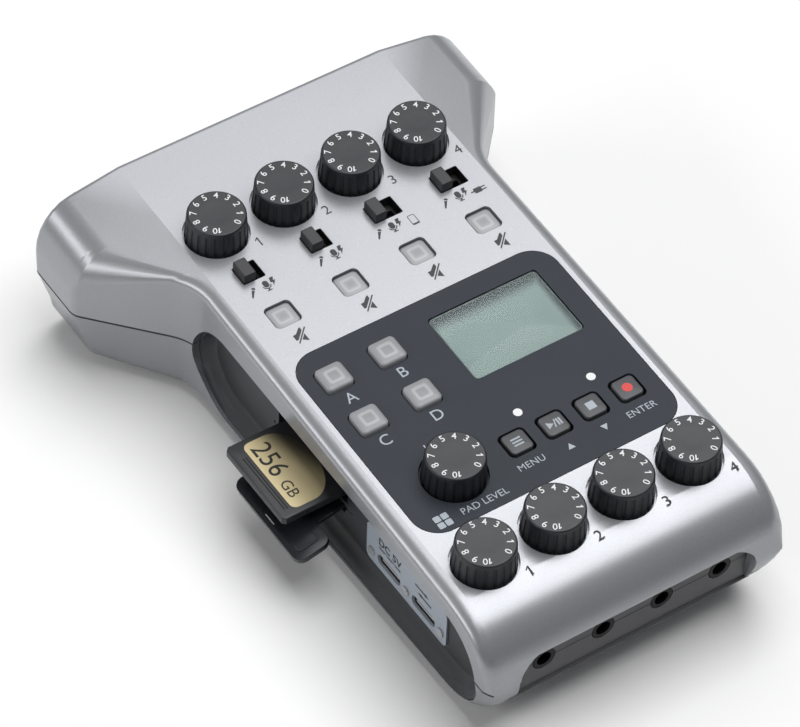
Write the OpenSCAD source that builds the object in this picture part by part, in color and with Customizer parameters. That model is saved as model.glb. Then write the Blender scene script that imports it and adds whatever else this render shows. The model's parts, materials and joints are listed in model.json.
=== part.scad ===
// Hand-held podcast recorder: a T-shaped silver case with a sloping control face, dark scooped sides,
// nine fluted knobs, a small display and a card slot.
// The origin is under the middle of the recorder, on the table. +Y points to the microphone sockets.

/* [Case] */
// Width across the wings of the head
head_w = 114.4; // [112:0.2:124]
// Depth from the nose lip to the latch tabs
overall_d = 157.6; // [156:0.2:170]
// Width of the body between the nose and the head
body_w = 76.6; // [75.6:0.2:82]
// Width of the body at the nose
nose_w = 77.8; // [76.6:0.2:82]
// Width of the flat strip between the two creases of the face
crease_w = 70.4; // [68:0.2:72]
// Height of the parting line between the two cases
split_z = 19.6; // [19.2:0.1:21]
// Wall of both cases
wall = 2.5; // [2.3:0.1:2.8]
// Size of the groove along the parting line
seam = 0.3; // [0.1:0.05:0.5]
// Height of the feet
foot_h = 2; // [1:0.1:3]
// Foot diameter
foot_d = 9; // [6:0.5:12]
// Length of the rolled nose
nose_len = 17; // [15:0.5:20]
// Half thickness of the lip at the tip of the nose
nose_lip = 0.6; // [0.5:0.1:1.2]
// Fullness of the nose below the lip, where 2 gives a quarter of an ellipse
nose_full = 1.7; // [1.5:0.05:2]
// Narrowing of the nose at its tip, on each side
tip_round = 1.2; // [0.4:0.1:2.4]
// Drop of the rounded edge outside the crease
edge_drop = 1.9; // [1:0.1:2.4]
// Reach of the bottom edge's rounding at the nose
base_round = 5; // [3:0.1:5.4]
// Reach of the bottom edge's rounding where the body meets the head
base_back = 1.4; // [1:0.1:4]
// Height of the bottom edge's rounding, for each mm of its reach
base_rise = 1.45; // [1:0.05:1.6]

/* [Head] */
// Length of the straight outer side of each wing
wing_len = 16.6; // [12:0.2:20]
// Angle of the wing's front face to the X axis
flare_angle = 48; // [42:1:54]
// Radius where the wing's front face meets the body
flare_fillet = 14; // [8:1:20]
// Radius of the wing's front corner
wing_corner = 4; // [2:0.5:6]
// Reach of the rounding along the wing's outer top edge
wing_round = 9; // [6:0.5:10]
// Height of the rounding along the wing's outer top edge
wing_rise = 11; // [7:0.5:12]
// Fall of the shoulder beside the crease, in mm for each mm outwards
shoulder_fall = 0.17; // [0.08:0.01:0.18]
// Reach of the rounding along the wing's bottom edge
wing_base = 5; // [3:0.1:6]
// Inward lean of the wing's lower side
wing_draft = 3; // [1:0.25:4]
// How much sooner the flare's lower side takes the wing's shape
flank = 2.5; // [1:0.1:3]
// Inward lean of the body's lower side
body_draft = 0.3; // [0.2:0.1:1]
// Rounding of the back rim
back_round = 1.2; // [0.6:0.1:2]

/* [Control face] */
// Distance from the nose lip to the reference point of the control face
face_ref = 68.3; // [67:0.1:69]
// Height of the control face at its reference point
face_h = 37.7; // [36.6:0.1:39]
// Slope of the control face, which rises towards the head
face_tilt = 2.3; // [1.5:0.1:2.6]
// Spacing of the four channels
channel_pitch = 17.7; // [17:0.1:18.2]
// Row of the gain knobs, from the reference point
gain_row = 59.35; // [58:0.1:60]
// Row of the headphone knobs
phones_row = -47.4; // [-48:0.1:-46.8]
// Row of the input switches
switch_row = 45.85; // [44:0.1:46.5]
// Row of the mute buttons
mute_row = 31.7; // [30:0.1:33]

/* [Knobs] */
// Diameter of a knob at its top
knob_top_d = 13.4; // [12:0.1:13.8]
// Diameter of a knob at its base
knob_base_d = 14.5; // [14:0.1:14.8]
// Height of the knob tops above the face
knob_h = 6.6; // [5:0.1:9]
// Number of flutes round a knob
flutes = 18; // [12:1:24]
// Radius of a flute's groove
flute_r = 0.5; // [0.3:0.05:0.6]
// Diameter of the dish round a knob
dish_d = 15.4; // [15.2:0.1:16]
// Depth of the dish
dish_depth = 1.4; // [0.8:0.1:1.4]
// Diameter of a knob's shaft
shaft_d = 6; // [5:0.1:6.2]
// X of the sound level knob
level_x = -19.2; // [-20:0.1:-18.5]
// Y of the sound level knob
level_y = -24.9; // [-25.4:0.1:-24]

/* [Switches and keys] */
// Length of the two-way input slots
slot_two = 5.8; // [5.4:0.1:6.4]
// Length of the three-way input slots
slot_three = 7.5; // [7:0.1:8]
// Width of the input slots
slot_w = 5.5; // [5.2:0.1:6]
// Length of a slide cap
cap_l = 3; // [2.6:0.1:3.4]
// Height of a slide cap above the face
cap_h = 2.6; // [1.5:0.1:3.5]
// Side of the mute buttons
mute_w = 6.3; // [5.6:0.1:6.8]
// Depth of the mute buttons below the face
mute_sunk = 0.6; // [0.2:0.1:1]
// Side of the sound pads
pad_w = 6.8; // [6:0.1:7.4]
// Height of the sound pads above the face
pad_h = 1.2; // [0.6:0.1:2]
// Spacing of the sound pads
pad_pitch = 13.8; // [13:0.1:14.4]
// X of the middle of the sound pads
pads_x = -19.95; // [-20.6:0.05:-19.4]
// Y of the middle of the sound pads
pads_y = 3.65; // [3.4:0.05:4.4]
// Side of the transport keys
key_w = 5.7; // [5:0.1:6.4]
// Gap round a transport key
key_gap = 0.6; // [0.3:0.05:0.8]
// Height of the transport keys above the face
key_h = 0.4; // [0:0.1:1]
// Spacing of the transport keys
key_pitch = 9.65; // [9.4:0.05:9.9]
// X of the first transport key
key_x = -2.75; // [-3.2:0.05:-2.2]
// Row of the transport keys
key_row = -24.75; // [-25.5:0.05:-24]
// Travel of every button and key
press = 0.5; // [0.3:0.05:0.5]

/* [Control panel] */
// Width of the control panel
panel_w = 67.7; // [66.5:0.1:68.4]
// Depth of the control panel
panel_d = 56.6; // [56:0.1:57.4]
// Y of the middle of the control panel
panel_y = -8.85; // [-9.1:0.05:-8.6]
// Corner radius of the control panel
panel_r = 6.5; // [4:0.5:8]
// Depth of the pocket that holds the control panel
pocket = 1.5; // [1.2:0.1:1.6]
// Width of the ledge under the control panel
ledge = 2.1; // [1.6:0.1:2.4]
// Width of the display window
lcd_w = 28.5; // [27:0.1:29]
// Depth of the display window
lcd_d = 19.5; // [18:0.1:20]
// X of the middle of the display
lcd_x = 13.9; // [13.6:0.1:14.6]
// Y of the middle of the display
lcd_y = 4.1; // [3.6:0.1:4.4]
// Thickness of the display window
lens_t = 1.2; // [1:0.1:1.4]
// Width of the border behind the display window
lcd_border = 1; // [0.6:0.1:1.6]
// Diameter of the indicator lights
light_d = 2.1; // [1.6:0.1:2.6]
// Row of the indicator lights
light_row = -17.9; // [-18.4:0.1:-17.6]

/* [Sides] */
// Half height of the scooped side panels
scoop_r = 12.8; // [12:0.1:12.9]
// Height of the middle of the side panels
scoop_z = 17.6; // [17.5:0.1:18.5]
// Length between the round ends of a side panel
scoop_len = 87; // [84:0.5:96]
// Distance from the nose lip to the first round end's centre
scoop_front = 18; // [17:0.5:20]
// Depth of the rim below the case's side
rim_sunk = 1.1; // [0.9:0.1:1.6]
// Depth of the scoop below the rim
scoop_depth = 2.9; // [2:0.1:3.2]
// Thickness of a side panel at the bottom of the scoop
panel_t = 1.2; // [1:0.1:1.5]

/* [Card and connectors] */
// Width of the memory card
card_w = 24; // [23:0.1:25]
// Length of the memory card
card_l = 32; // [30:0.1:34]
// Thickness of the memory card
card_t = 2.1; // [1.8:0.1:2.2]
// Length of card that stands out of the side panel
card_out = 15.3; // [13:0.1:16]
// Distance from the nose lip to the edge of the card nearest the head
card_from_nose = 87.3; // [86:0.1:88]
// Width of the card opening
card_gap_w = 28; // [27.6:0.1:29]
// Height of the card opening
card_gap_h = 8; // [7.8:0.1:8.6]
// Length of the card cover
cover_l = 26.8; // [22:0.2:27]
// Reach of the card cover from its hinge
cover_reach = 17; // [12:0.1:17.5]
// Thickness of the card cover
cover_t = 1.6; // [1.2:0.1:1.8]
// Droop of the open card cover, in degrees
cover_droop = 14; // [10:1:28]
// Diameter of the card cover's hinge pin
pin_d = 1.6; // [1.4:0.1:1.8]
// Distance from the nose lip to the middle of the connector plate
usb_from_nose = 37.4; // [36.8:0.1:38]
// Length of the connector plate
usb_plate_l = 31; // [29:0.5:32]
// Height of the connector plate
usb_plate_h = 11.6; // [11:0.1:12]
// Spacing of the two connectors
usb_pitch = 13.4; // [12.6:0.1:14]
// Width of a USB connector
usb_w = 8.9; // [8.5:0.1:9]
// Height of a USB connector
usb_h = 3.2; // [3:0.1:3.3]
// Spacing of the headphone sockets
jack_pitch = 15.26; // [14.6:0.02:15.6]
// Bore of the 3.5 mm sockets
jack_bore = 3.6; // [3.5:0.05:3.8]
// Collar diameter of the 3.5 mm sockets
jack_d = 5.6; // [5.2:0.1:6]
// Depth of the recess that holds the headphone sockets
jack_sunk = 2.7; // [2:0.1:3]
// Half length of the recess
jack_recess = 30; // [28:0.5:31]
// Distance from the nose lip to the phone socket
phone_from_nose = 32; // [31:0.1:33]
// Distance from the nose lip to the power switch
power_from_nose = 57; // [56:0.1:58]

/* [Microphone sockets] */
// Spacing of the microphone sockets
mic_pitch = 27.2; // [26.4:0.1:27.4]
// Height of the microphone sockets
mic_z = 21.8; // [21:0.1:22]
// Bore of the microphone sockets
mic_bore = 19.3; // [18.8:0.1:19.6]
// Outside diameter of a socket's shell
mic_shell_d = 22.2; // [21.8:0.1:22.6]
// Depth of a microphone socket
mic_depth = 16; // [12:0.5:17]
// Distance that the latch tabs stand out behind the case
latch_out = 1.6; // [1:0.1:2.4]
// Travel of a latch tab
latch_travel = 1.2; // [0.6:0.1:1.2]

/* [Inside] */
// Thickness of both circuit boards
board_t = 1.6; // [1.2:0.1:1.8]
// Depth of the control board below the face
board_depth = 8.5; // [8.3:0.1:9.2]
// Depth of the main board below the parting line
main_drop = 2.6; // [2.5:0.1:2.8]
// Diameter of a battery cell
cell_d = 14.2; // [13.5:0.1:14.5]
// Length of a battery cell
cell_l = 50; // [48:0.5:50.5]
// Thickness of the battery cover
hatch_t = 1.6; // [1.6:0.1:2]
// Distance from the back of the case to the middle of the battery bay
bay_from_back = 50.2; // [42:0.1:50.3]

/* [Fits] */
// Clearance round pieces that sit in an opening
fit = 0.15; // [0.1:0.01:0.2]
// Clearance round pieces that move in an opening
free = 0.25; // [0.2:0.01:0.3]
// Radial clearance of pins and shafts
run = 0.05; // [0.03:0.01:0.08]

/* [Hidden] */
$fn = 48;
eps = 0.01;
cut = 1;

// Places along the depth
y_front = -overall_d / 2;
y_case = overall_d / 2 - latch_out;
nose_y = y_front + nose_len;
face_y = y_front + face_ref;
flare_y = y_case - wing_len;
body_hw = body_w / 2;
nose_hw = nose_w / 2;
head_hw = head_w / 2;
crease_hw = crease_w / 2;

// Places on the control face
function channel_x(i) = (i - 1.5) * channel_pitch;
knob_places = concat(
  [for (i = [0:3]) [channel_x(i), gain_row]],
  [for (i = [0:3]) [channel_x(i), phones_row]],
  [[level_x, level_y]]);
function pad_place(i) = [pads_x + (i % 2 - 0.5) * pad_pitch, pads_y + (i < 2 ? 0.5 : -0.5) * pad_pitch];
function key_place(i) = [key_x + i * key_pitch, key_row];
light_places = [for (i = [0, 2]) [key_x + (i + 0.5) * key_pitch, light_row]];
function slot_len(i) = i < 2 ? slot_two : slot_three;

// Levels under the control face
under = -wall;
board_top = -board_depth;
board_low = board_top - board_t;
body_top = under - free;
flange_top = under - free;
flange_t = 0.8;
flange_out = 0.7;
contact_t = 0.7;
stem_low = board_top + contact_t + press + 0.1;
corner_r = 1.1;
lever = 1.4;
switch_over = 1;
switch_body_w = 6;
display_over = 1;
display_t = 3;
mute_hole = mute_w + 2 * free;
pad_hole = pad_w + 2 * free;
key_hole = key_w + 2 * key_gap;

// Boards and screws
pot_w = 11;
pot_bore_deep = 4.2;
board_hw = channel_pitch * 1.5 + pot_w / 2 - 0.1;
board_front = phones_row - pot_w / 2 - 0.3;
board_back = gain_row + pot_w / 2 - 0.4;
post_d = 5;
main_post_x = 18;
main_post_front = 4;
main_post_back = 12;
post_places = [[-channel_pitch, gain_row], [channel_pitch, gain_row], [-channel_pitch, phones_row],
  [channel_pitch, phones_row], [0, mute_row]];
screw_d = 2.5;
screw_head_d = 4.6;
screw_head_h = 1.6;
pilot_deep = 5;
pilot_gap = 0.5;
seat_deep = 4.6;
case_post_d = 5.6;
front_screw = [29.6, nose_y - 7];
back_screw = [36, face_y + gain_row];
case_screw_places = [for (s = [-1, 1], p = [front_screw, back_screw]) [s * p.x, p.y]];

// Side panels
rim_x = body_hw - rim_sunk;
floor_x = rim_x - scoop_depth;
back_x = floor_x - panel_t;
scoop_y0 = y_front + scoop_front;
scoop_y1 = scoop_y0 + scoop_len;

// Main board and its sockets
main_top = split_z - main_drop;
main_low = main_top - board_t;
main_hw = back_x - 2.1;
jack_y = y_front + jack_sunk;
jack_body = 6;
recess_low = split_z - 7;
recess_high = split_z + 4;
recess_slant = 1.2;
recess_flare = 2.5;
recess_rim = 1.5;
jack_len = 13;
jack_collar = wall + 0.4;
function jack_x(i) = (i - 1.5) * jack_pitch;
card_y = y_front + card_from_nose - card_w / 2;
card_x = -floor_x - card_out;
card_z = split_z;
hinge_x = -floor_x + 0.8;
hinge_z = card_z - card_gap_h / 2 + pin_d / 2 + 0.2;
ear_t = 1.9;
ear_h = 2.6;
ear_deep = 1.5;
strap_w = 8;
strap_in = 1.2;
strap_notch = 2.4;
usb_y = y_front + usb_from_nose;
usb_z = main_low - usb_h / 2;
usb_len = 7.5;
plate_t = 0.5;
plate_z = usb_z + 2.4;
rivet_d = 2.4;
phone_y = y_front + phone_from_nose;
power_y = y_front + power_from_nose;
power_z = main_top + 1.9;
power_travel = 2;
power_cap = 5;
power_body = [5, 10, 3.8];
power_slot = [3, 2, 1.8];

// Battery bay
cell_gap = 0.8;
bay_wall = 1.4;
bay_y = y_case - bay_from_back;
bay_d = 2 * cell_d + 3 * cell_gap;
contact_gap = 2;
bay_w = cell_l + 2 * contact_gap;
cell_z = foot_h + hatch_t + 0.3 + cell_d / 2;
bay_top = cell_z + cell_d / 2 + 0.3;
hatch_pin_d = 1.5;
hatch_grip = 16;
hatch_pin_z = foot_h + hatch_t / 2 + 0.05;
hatch_pin_y = bay_y - bay_d / 2 + hatch_pin_d / 2 + 0.3;

// Rear panel and microphone sockets
rear_t = 2;
rear_sunk = 0.5;
rear_y = y_case - rear_sunk;
rear_back = rear_y - rear_t;
mic_flange_d = mic_shell_d + 2;
mic_flange_t = 1.2;
function mic_x(i) = (i - 1.5) * mic_pitch;
latch_w = 10;
latch_low = mic_z + mic_shell_d / 2 + 1.6;
latch_top = latch_low + 3;
latch_stem = 1.4;
latch_len = 8;

// Curves of the case
function lerp(a, b, t) = a + (b - a) * t;
function wing_part(w) = max(0, min(1, (w - body_hw) / (head_hw - body_hw)));
function face_top(y) = face_h + (y - face_y) * tan(face_tilt);
function roll(y, inset, power) =
  let (u = (nose_y - y) / (nose_len - inset))
  u <= 0 ? 1 : u >= 1 ? 0 : pow(1 - pow(u, power), 1 / power);
function roof(y, inset) =
  let (base = split_z + nose_lip)
  base + (face_top(max(y, nose_y)) - inset - base) * roll(y, inset, 2);
function belly(y, inset) =
  let (base = split_z - nose_lip)
  base - (base - foot_h - inset) * roll(y, inset, nose_full);

// How far the top of the case falls below the face at a distance x from the middle
function shoulder(x, inset) =
  let (u = (x - head_hw + inset + wing_round) / wing_round)
  shoulder_fall * max(0, x - crease_hw) + (u <= 0 ? 0 : wing_rise * (1 - sqrt(max(0, 1 - u * u))));

// Half of a section of the upper case, from the parting line up to the crease
edge_steps = 6;
function upper_half(y, w, inset) =
  let (t = wing_part(w + inset))
  let (drop = (roof(y, inset) - roof(y, inset + edge_drop)) * min(1, 0.15 + 6 * (1 - t)))
  let (reach = w - crease_hw - 0.2 + inset)
  let (span = min(reach, lerp(body_hw - crease_hw - 0.2, wing_round, t * t)))
  concat(
    inset > 0 ? [[w, split_z - cut]] : [[w - seam, split_z], [w, split_z + seam]],
    [for (k = [0:edge_steps])
      let (a = 90 * k / edge_steps)
      let (x = w - span * (1 - cos(a)))
      let (edge = min(span, body_hw - crease_hw - 0.2))
      let (v = max(0, 1 - (w - x) / edge))
      [x, roof(y, inset) - shoulder(x, inset) * roll(y, inset, 2) - drop * (1 - sqrt(max(0, 1 - v * v)))]],
    [[crease_hw - inset, roof(y, inset)]]);

// Half of a section of the lower case, from the parting line down to the bottom
foot_steps = 4;
function lower_half(y, w, inset) =
  let (t = min(1, flank * wing_part(w + inset)))
  let (lean = lerp(body_draft, wing_draft, t))
  let (part = max(0, min(1, (fillet_y - y) / (fillet_y - nose_y))))
  let (across = lerp(lerp(base_back, base_round, part), wing_base, t))
  let (height = min(base_rise * across, 0.75 * (split_z - seam - belly(y, inset))))
  concat(
    inset > 0 ? [[w, split_z + cut]] : [[w - seam, split_z], [w, split_z - seam]],
    [for (k = [0:foot_steps])
      let (a = 90 * k / foot_steps)
      [w - lean - across * (1 - cos(a)), belly(y, inset) + height * (1 - sin(a))]]);

function mirrored(half) = [for (p = half) [-p.x, p.y]];
function turned(list) = [for (k = [len(list) - 1:-1:0]) list[k]];
function upper_ring(y, w, inset) = let (h = upper_half(y, w, inset)) concat(h, turned(mirrored(h)));
function lower_ring(y, w, inset) = let (h = lower_half(y, w, inset)) concat(mirrored(h), turned(h));

// Stations along the depth, each with its half width
nose_steps = 9;
flare_steps = 6;
turn = 90 - flare_angle;
fillet_run = flare_fillet * tan(turn / 2);
corner_run = wing_corner * tan(turn / 2);
fillet_y = flare_y - (head_hw - body_hw) * tan(flare_angle) - fillet_run;
function nose_width(y) =
  nose_hw - tip_round * max(0, min(1, (y_front + edge_drop - y) / edge_drop));
function nose_stations(inset) =
  [for (k = [0:nose_steps])
    let (y = nose_y - (nose_len - inset) * cos(90 * k / nose_steps))
    [y, nose_width(y)]];
flare_stations = concat(
  [for (k = [0:flare_steps])
    let (a = turn * k / flare_steps)
    [fillet_y + flare_fillet * sin(a), body_hw + flare_fillet * (1 - cos(a))]],
  [for (k = [0:flare_steps])
    let (a = turn * (1 - k / flare_steps))
    [flare_y + corner_run - wing_corner * sin(a), head_hw - wing_corner * (1 - cos(a))]]);

// A solid through rings of equal length at rising stations
function loft_faces(n, m) = concat(
  [[for (j = [m - 1:-1:0]) j]],
  [[for (j = [0:m - 1]) (n - 1) * m + j]],
  [for (i = [0:n - 2]) for (j = [0:m - 1])
    let (a = i * m + j, b = i * m + (j + 1) % m)
    each [[a, b, b + m], [a, b + m, a + m]]]);

module loft(rings) {
  polyhedron([for (r = rings) each r], loft_faces(len(rings), len(rings[0])));
}

function at_y(y, ring) = [for (p = ring) [p.x, y, p.y]];

module case_outer(upper) {
  stations = concat(nose_stations(0), flare_stations, [[y_case - back_round, head_hw]]);
  // The back rim turns in by the same amount across and in height, and keeps the parting groove
  rim = [for (k = [1:3])
    let (a = 30 * k)
    [y_case - back_round * (1 - sin(a)), back_round * (1 - cos(a)) / 2]];
  loft(concat(
    [for (s = stations) at_y(s[0], upper ? upper_ring(s[0], s[1], 0) : lower_ring(s[0], s[1], 0))],
    [for (r = rim)
      let (h = upper ? upper_half(r[0], head_hw, 0) : lower_half(r[0], head_hw, 0))
      let (inner = [for (k = [0:len(h) - 1])
        [h[k].x - r[1], h[k].y - (upper ? r[1] : -r[1]) * min(1, max(0, k - 1) / 2)]])
      at_y(r[0], upper ? concat(inner, turned(mirrored(inner))) : concat(mirrored(inner), turned(inner)))]));
}

module case_inner(upper) {
  stations = concat(nose_stations(wall), flare_stations, [[y_case + cut, head_hw]]);
  loft([for (s = stations)
    at_y(s[0], upper ? upper_ring(s[0], s[1] - wall, wall) : lower_ring(s[0], s[1] - wall, wall))]);
}

// Helpers
module on_face() {
  translate([0, face_y, face_h]) rotate([face_tilt, 0, 0]) children();
}

module at(place) {
  translate([place.x, place.y, 0]) children();
}

module rounded(w, d, r) {
  square([w - 2 * r, d], center = true);
  square([w, d - 2 * r], center = true);
  for (sx = [-1, 1], sy = [-1, 1])
    translate([sx * (w / 2 - r), sy * (d / 2 - r)]) circle(r);
}

module plate(w, d, r, low, high) {
  translate([0, 0, low]) linear_extrude(high - low) rounded(w, d, r);
}

module rod(d, low, high) {
  translate([0, 0, low]) cylinder(d = d, h = high - low);
}

// A profile in Y and Z, extruded along X
module along_x(low, high) {
  translate([low, 0, 0]) rotate([90, 0, 90]) linear_extrude(high - low) children();
}

// A profile in X and Z, extruded along Y
module along_y(low, high) {
  translate([0, high, 0]) rotate([90, 0, 0]) linear_extrude(high - low) children();
}

module box(low, high) {
  translate(low) cube(high - low);
}

module both_sides() {
  children();
  mirror([1, 0, 0]) children();
}

module left_side() {
  mirror([1, 0, 0]) children();
}

// Cuts that both cases share
module scoop_outline(r) {
  translate([scoop_y0, scoop_z]) circle(r);
  translate([scoop_y1, scoop_z]) circle(r);
  translate([scoop_y0, scoop_z - r]) square([scoop_len, 2 * r]);
}

module scoop_cuts() {
  both_sides() along_x(back_x - cut, head_hw) scoop_outline(scoop_r + fit);
}

module jack_cuts() {
  intersection() {
    along_x(-jack_recess - recess_slant, jack_recess + recess_slant)
      polygon([[jack_y, recess_low], [jack_y, recess_high], [y_front - cut, recess_high + recess_flare],
        [y_front - cut, recess_low - recess_flare]]);
    translate([0, 0, foot_h]) linear_extrude(face_h)
      polygon([[-jack_recess - recess_slant, y_front - cut], [jack_recess + recess_slant, y_front - cut],
        [jack_recess, jack_y], [-jack_recess, jack_y]]);
  }
  for (i = [0:3])
    translate([jack_x(i), jack_y - cut, split_z]) rotate([-90, 0, 0])
      cylinder(d = jack_d + 2 * fit, h = wall + 2 * cut);
}

// The wall behind the recess, from the parting line to one edge of the recess
module jack_wall(edge) {
  low = min(split_z, edge);
  high = max(split_z, edge);
  box([-jack_recess - recess_rim, jack_y, low], [jack_recess + recess_rim, jack_y + wall, high]);
}

module knob_cuts(places) {
  for (p = places) at(p) {
    rod(dish_d, -dish_depth, cut);
    rod(shaft_d + 2 * free, under - cut, 0);
  }
}

// Shells
module upper_case() {
  color("silver") difference() {
    union() {
      difference() {
        case_outer(true);
        case_inner(true);
      }
      on_face() for (p = post_places) at(p) rod(post_d, board_top, under + wall / 2);
      for (p = case_screw_places) at(p) rod(case_post_d, split_z, roof(p.y - case_post_d / 2, wall / 2));
      jack_wall(recess_high + recess_rim);
    }
    on_face() {
      knob_cuts([for (i = [0:7]) knob_places[i]]);
      for (i = [0:3]) translate([channel_x(i), 0, 0]) {
        translate([0, switch_row, 0]) plate(slot_len(i), slot_w, 0.4, under - cut, cut);
        translate([0, mute_row, 0]) plate(mute_hole, mute_hole, corner_r + free, under - cut, cut);
      }
      translate([0, panel_y, 0]) {
        plate(panel_w + 2 * fit, panel_d + 2 * fit, panel_r + fit, -pocket, cut);
        plate(panel_w - 2 * ledge + 2 * fit, panel_d - 2 * ledge + 2 * fit, panel_r - ledge + fit,
          under - cut, 0);
      }
      for (p = post_places) at(p) rod(screw_d + 2 * run, board_top - cut, board_top + pilot_deep);
    }
    for (p = case_screw_places) at(p) rod(screw_d + 2 * run, split_z - cut, split_z + pilot_deep);
    scoop_cuts();
    jack_cuts();
    for (i = [0:3])
      box([mic_x(i) - latch_w / 2 - free, rear_back - latch_travel, latch_low - free],
        [mic_x(i) + latch_w / 2 + free, y_case + cut, latch_top + free]);
  }
}

module lower_case() {
  post_top = main_low;
  posts = [for (s = [-1, 1], y = [nose_y - main_post_front, bay_y - bay_d / 2 - main_post_back])
    [s * main_post_x, y]];
  color("silver") difference() {
    union() {
      difference() {
        case_outer(false);
        case_inner(false);
      }
      for (p = posts) at(p) rod(post_d, foot_h + wall / 2, post_top);
      for (p = case_screw_places) at(p) rod(case_post_d, belly(p.y - case_post_d / 2, wall / 2), split_z);
      jack_wall(recess_low - recess_rim);
      translate([0, bay_y, 0])
        plate(bay_w + 2 * bay_wall, bay_d + 2 * bay_wall, bay_wall, foot_h + wall / 2, bay_top + bay_wall);
    }
    translate([0, bay_y, 0]) plate(bay_w, bay_d, 0.4, foot_h - cut, bay_top);
    translate([-bay_w / 2 - bay_wall, hatch_pin_y, hatch_pin_z]) rotate([0, 90, 0])
      cylinder(d = hatch_pin_d + 2 * run, h = bay_w + 2 * bay_wall);
    for (p = case_screw_places) at(p) {
      rod(screw_d + 4 * run, 0, split_z + cut);
      rod(screw_head_d + 2 * fit, 0, belly(p.y, 0) + seat_deep);
    }
    scoop_cuts();
    jack_cuts();
  }
}

// A side panel, drawn on the right
scoop_arc = 10;
function scoop_ring(x, r, rise) = turned(concat(
  [for (k = [0:scoop_arc])
    let (a = -90 + 180 * k / scoop_arc)
    [x, scoop_y1 + r * cos(a), scoop_z + rise + r * sin(a)]],
  [for (k = [0:scoop_arc])
    let (a = 90 + 180 * k / scoop_arc)
    [x, scoop_y0 + r * cos(a), scoop_z + rise + r * sin(a)]]));

module side_panel() {
  difference() {
    along_x(back_x, rim_x) scoop_outline(scoop_r);
    loft([
      scoop_ring(floor_x, scoop_r - 3.2, 1.6),
      scoop_ring(lerp(floor_x, rim_x, 0.15), scoop_r - 2.3, 1.3),
      scoop_ring(lerp(floor_x, rim_x, 0.55), scoop_r - 1.3, 0.6),
      scoop_ring(rim_x, scoop_r - 0.5, 0),
      scoop_ring(rim_x + cut, scoop_r - 0.5, 0)]);
  }
}

module left_side_panel() {
  color("dimgray") difference() {
    union() {
      left_side() side_panel();
      for (s = [-1, 1])
        translate([0, card_y + s * (card_gap_w + ear_t) / 2, 0])
          box([-back_x - eps, -ear_t / 2, hinge_z - ear_h / 2],
            [hinge_x + ear_deep, ear_t / 2, hinge_z + ear_h / 2]);
    }
    along_x(-rim_x - cut, -back_x + cut) translate([card_y, card_z]) rounded(card_gap_w, card_gap_h, 0.8);
    translate([0, card_y - card_gap_w / 2 + strap_in, hinge_z])
      box([-rim_x - cut, -free, -strap_notch], [-back_x + cut, strap_w + free, pin_d]);
    translate([hinge_x, card_y - card_gap_w / 2 - ear_t, hinge_z]) rotate([-90, 0, 0])
      cylinder(d = pin_d + 2 * run, h = card_gap_w + 2 * ear_t);
    for (s = [-1, 1])
      along_x(-rim_x - cut, -back_x + cut)
        translate([usb_y + s * usb_pitch / 2, usb_z]) rounded(usb_w + 2 * fit, usb_h + 2 * fit, usb_h / 2.2);
    for (s = [-1, 0, 1])
      translate([-back_x + cut, usb_y + s * usb_pitch, usb_z]) rotate([0, -90, 0])
        cylinder(d = rivet_d / 2 + 2 * run, h = panel_t + 2 * cut);
  }
}

module right_side_panel() {
  color("dimgray") difference() {
    side_panel();
    translate([back_x - cut, phone_y, split_z]) rotate([0, 90, 0])
      cylinder(d = jack_d + 2 * fit, h = scoop_depth + panel_t);
    along_x(back_x - cut, rim_x)
      translate([power_y, power_z]) rounded(power_cap + 2 * power_travel + 2 * free, 3 + 2 * free, 0.5);
  }
}

module control_panel() {
  color("darkslategray") on_face() difference() {
    translate([0, panel_y, 0]) {
      plate(panel_w, panel_d, panel_r, -pocket, 0);
      plate(panel_w - 2 * ledge, panel_d - 2 * ledge, panel_r - ledge, under, -pocket);
    }
    knob_cuts([[level_x, level_y]]);
    for (i = [0:3]) {
      at(pad_place(i)) plate(pad_hole, pad_hole, corner_r + free, under - cut, cut);
      at(key_place(i)) plate(key_hole, key_hole, corner_r + key_gap / 2, under - cut, cut);
    }
    for (p = light_places) at(p) rod(light_d + 2 * run, under - cut, cut);
    translate([lcd_x, lcd_y, 0]) {
      plate(lcd_w + 2 * fit, lcd_d + 2 * fit, 0.8 + fit, -lens_t - fit, cut);
      plate(lcd_w - 2 * lcd_border, lcd_d - 2 * lcd_border, 0.6, under - cut, 0);
    }
  }
}

module display_window() {
  color("lightgray", 0.4) on_face() translate([lcd_x, lcd_y, 0])
    plate(lcd_w, lcd_d, 0.8, -lens_t - fit, -fit);
}

module display_module() {
  color("darkseagreen") on_face() translate([lcd_x, lcd_y, 0])
    plate(lcd_w + 2 * display_over, lcd_d + 2 * display_over, 0.5, under - display_t, under);
}

module light_pipes() {
  color("white") on_face() for (p = light_places) at(p) rod(light_d, board_top, 0);
}

// Inner works
module control_board() {
  color("darkgreen") on_face() difference() {
    box([-board_hw, board_front, board_low], [board_hw, board_back, board_top]);
    for (p = post_places) at(p) rod(screw_d + 4 * run, board_low - cut, board_top + cut);
  }
}

module potentiometers() {
  color("slategray") on_face() for (p = knob_places) at(p) difference() {
    plate(pot_w, pot_w, 0.6, board_top, body_top);
    rod(shaft_d + 2 * run, body_top - pot_bore_deep, body_top + cut);
  }
}

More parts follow.
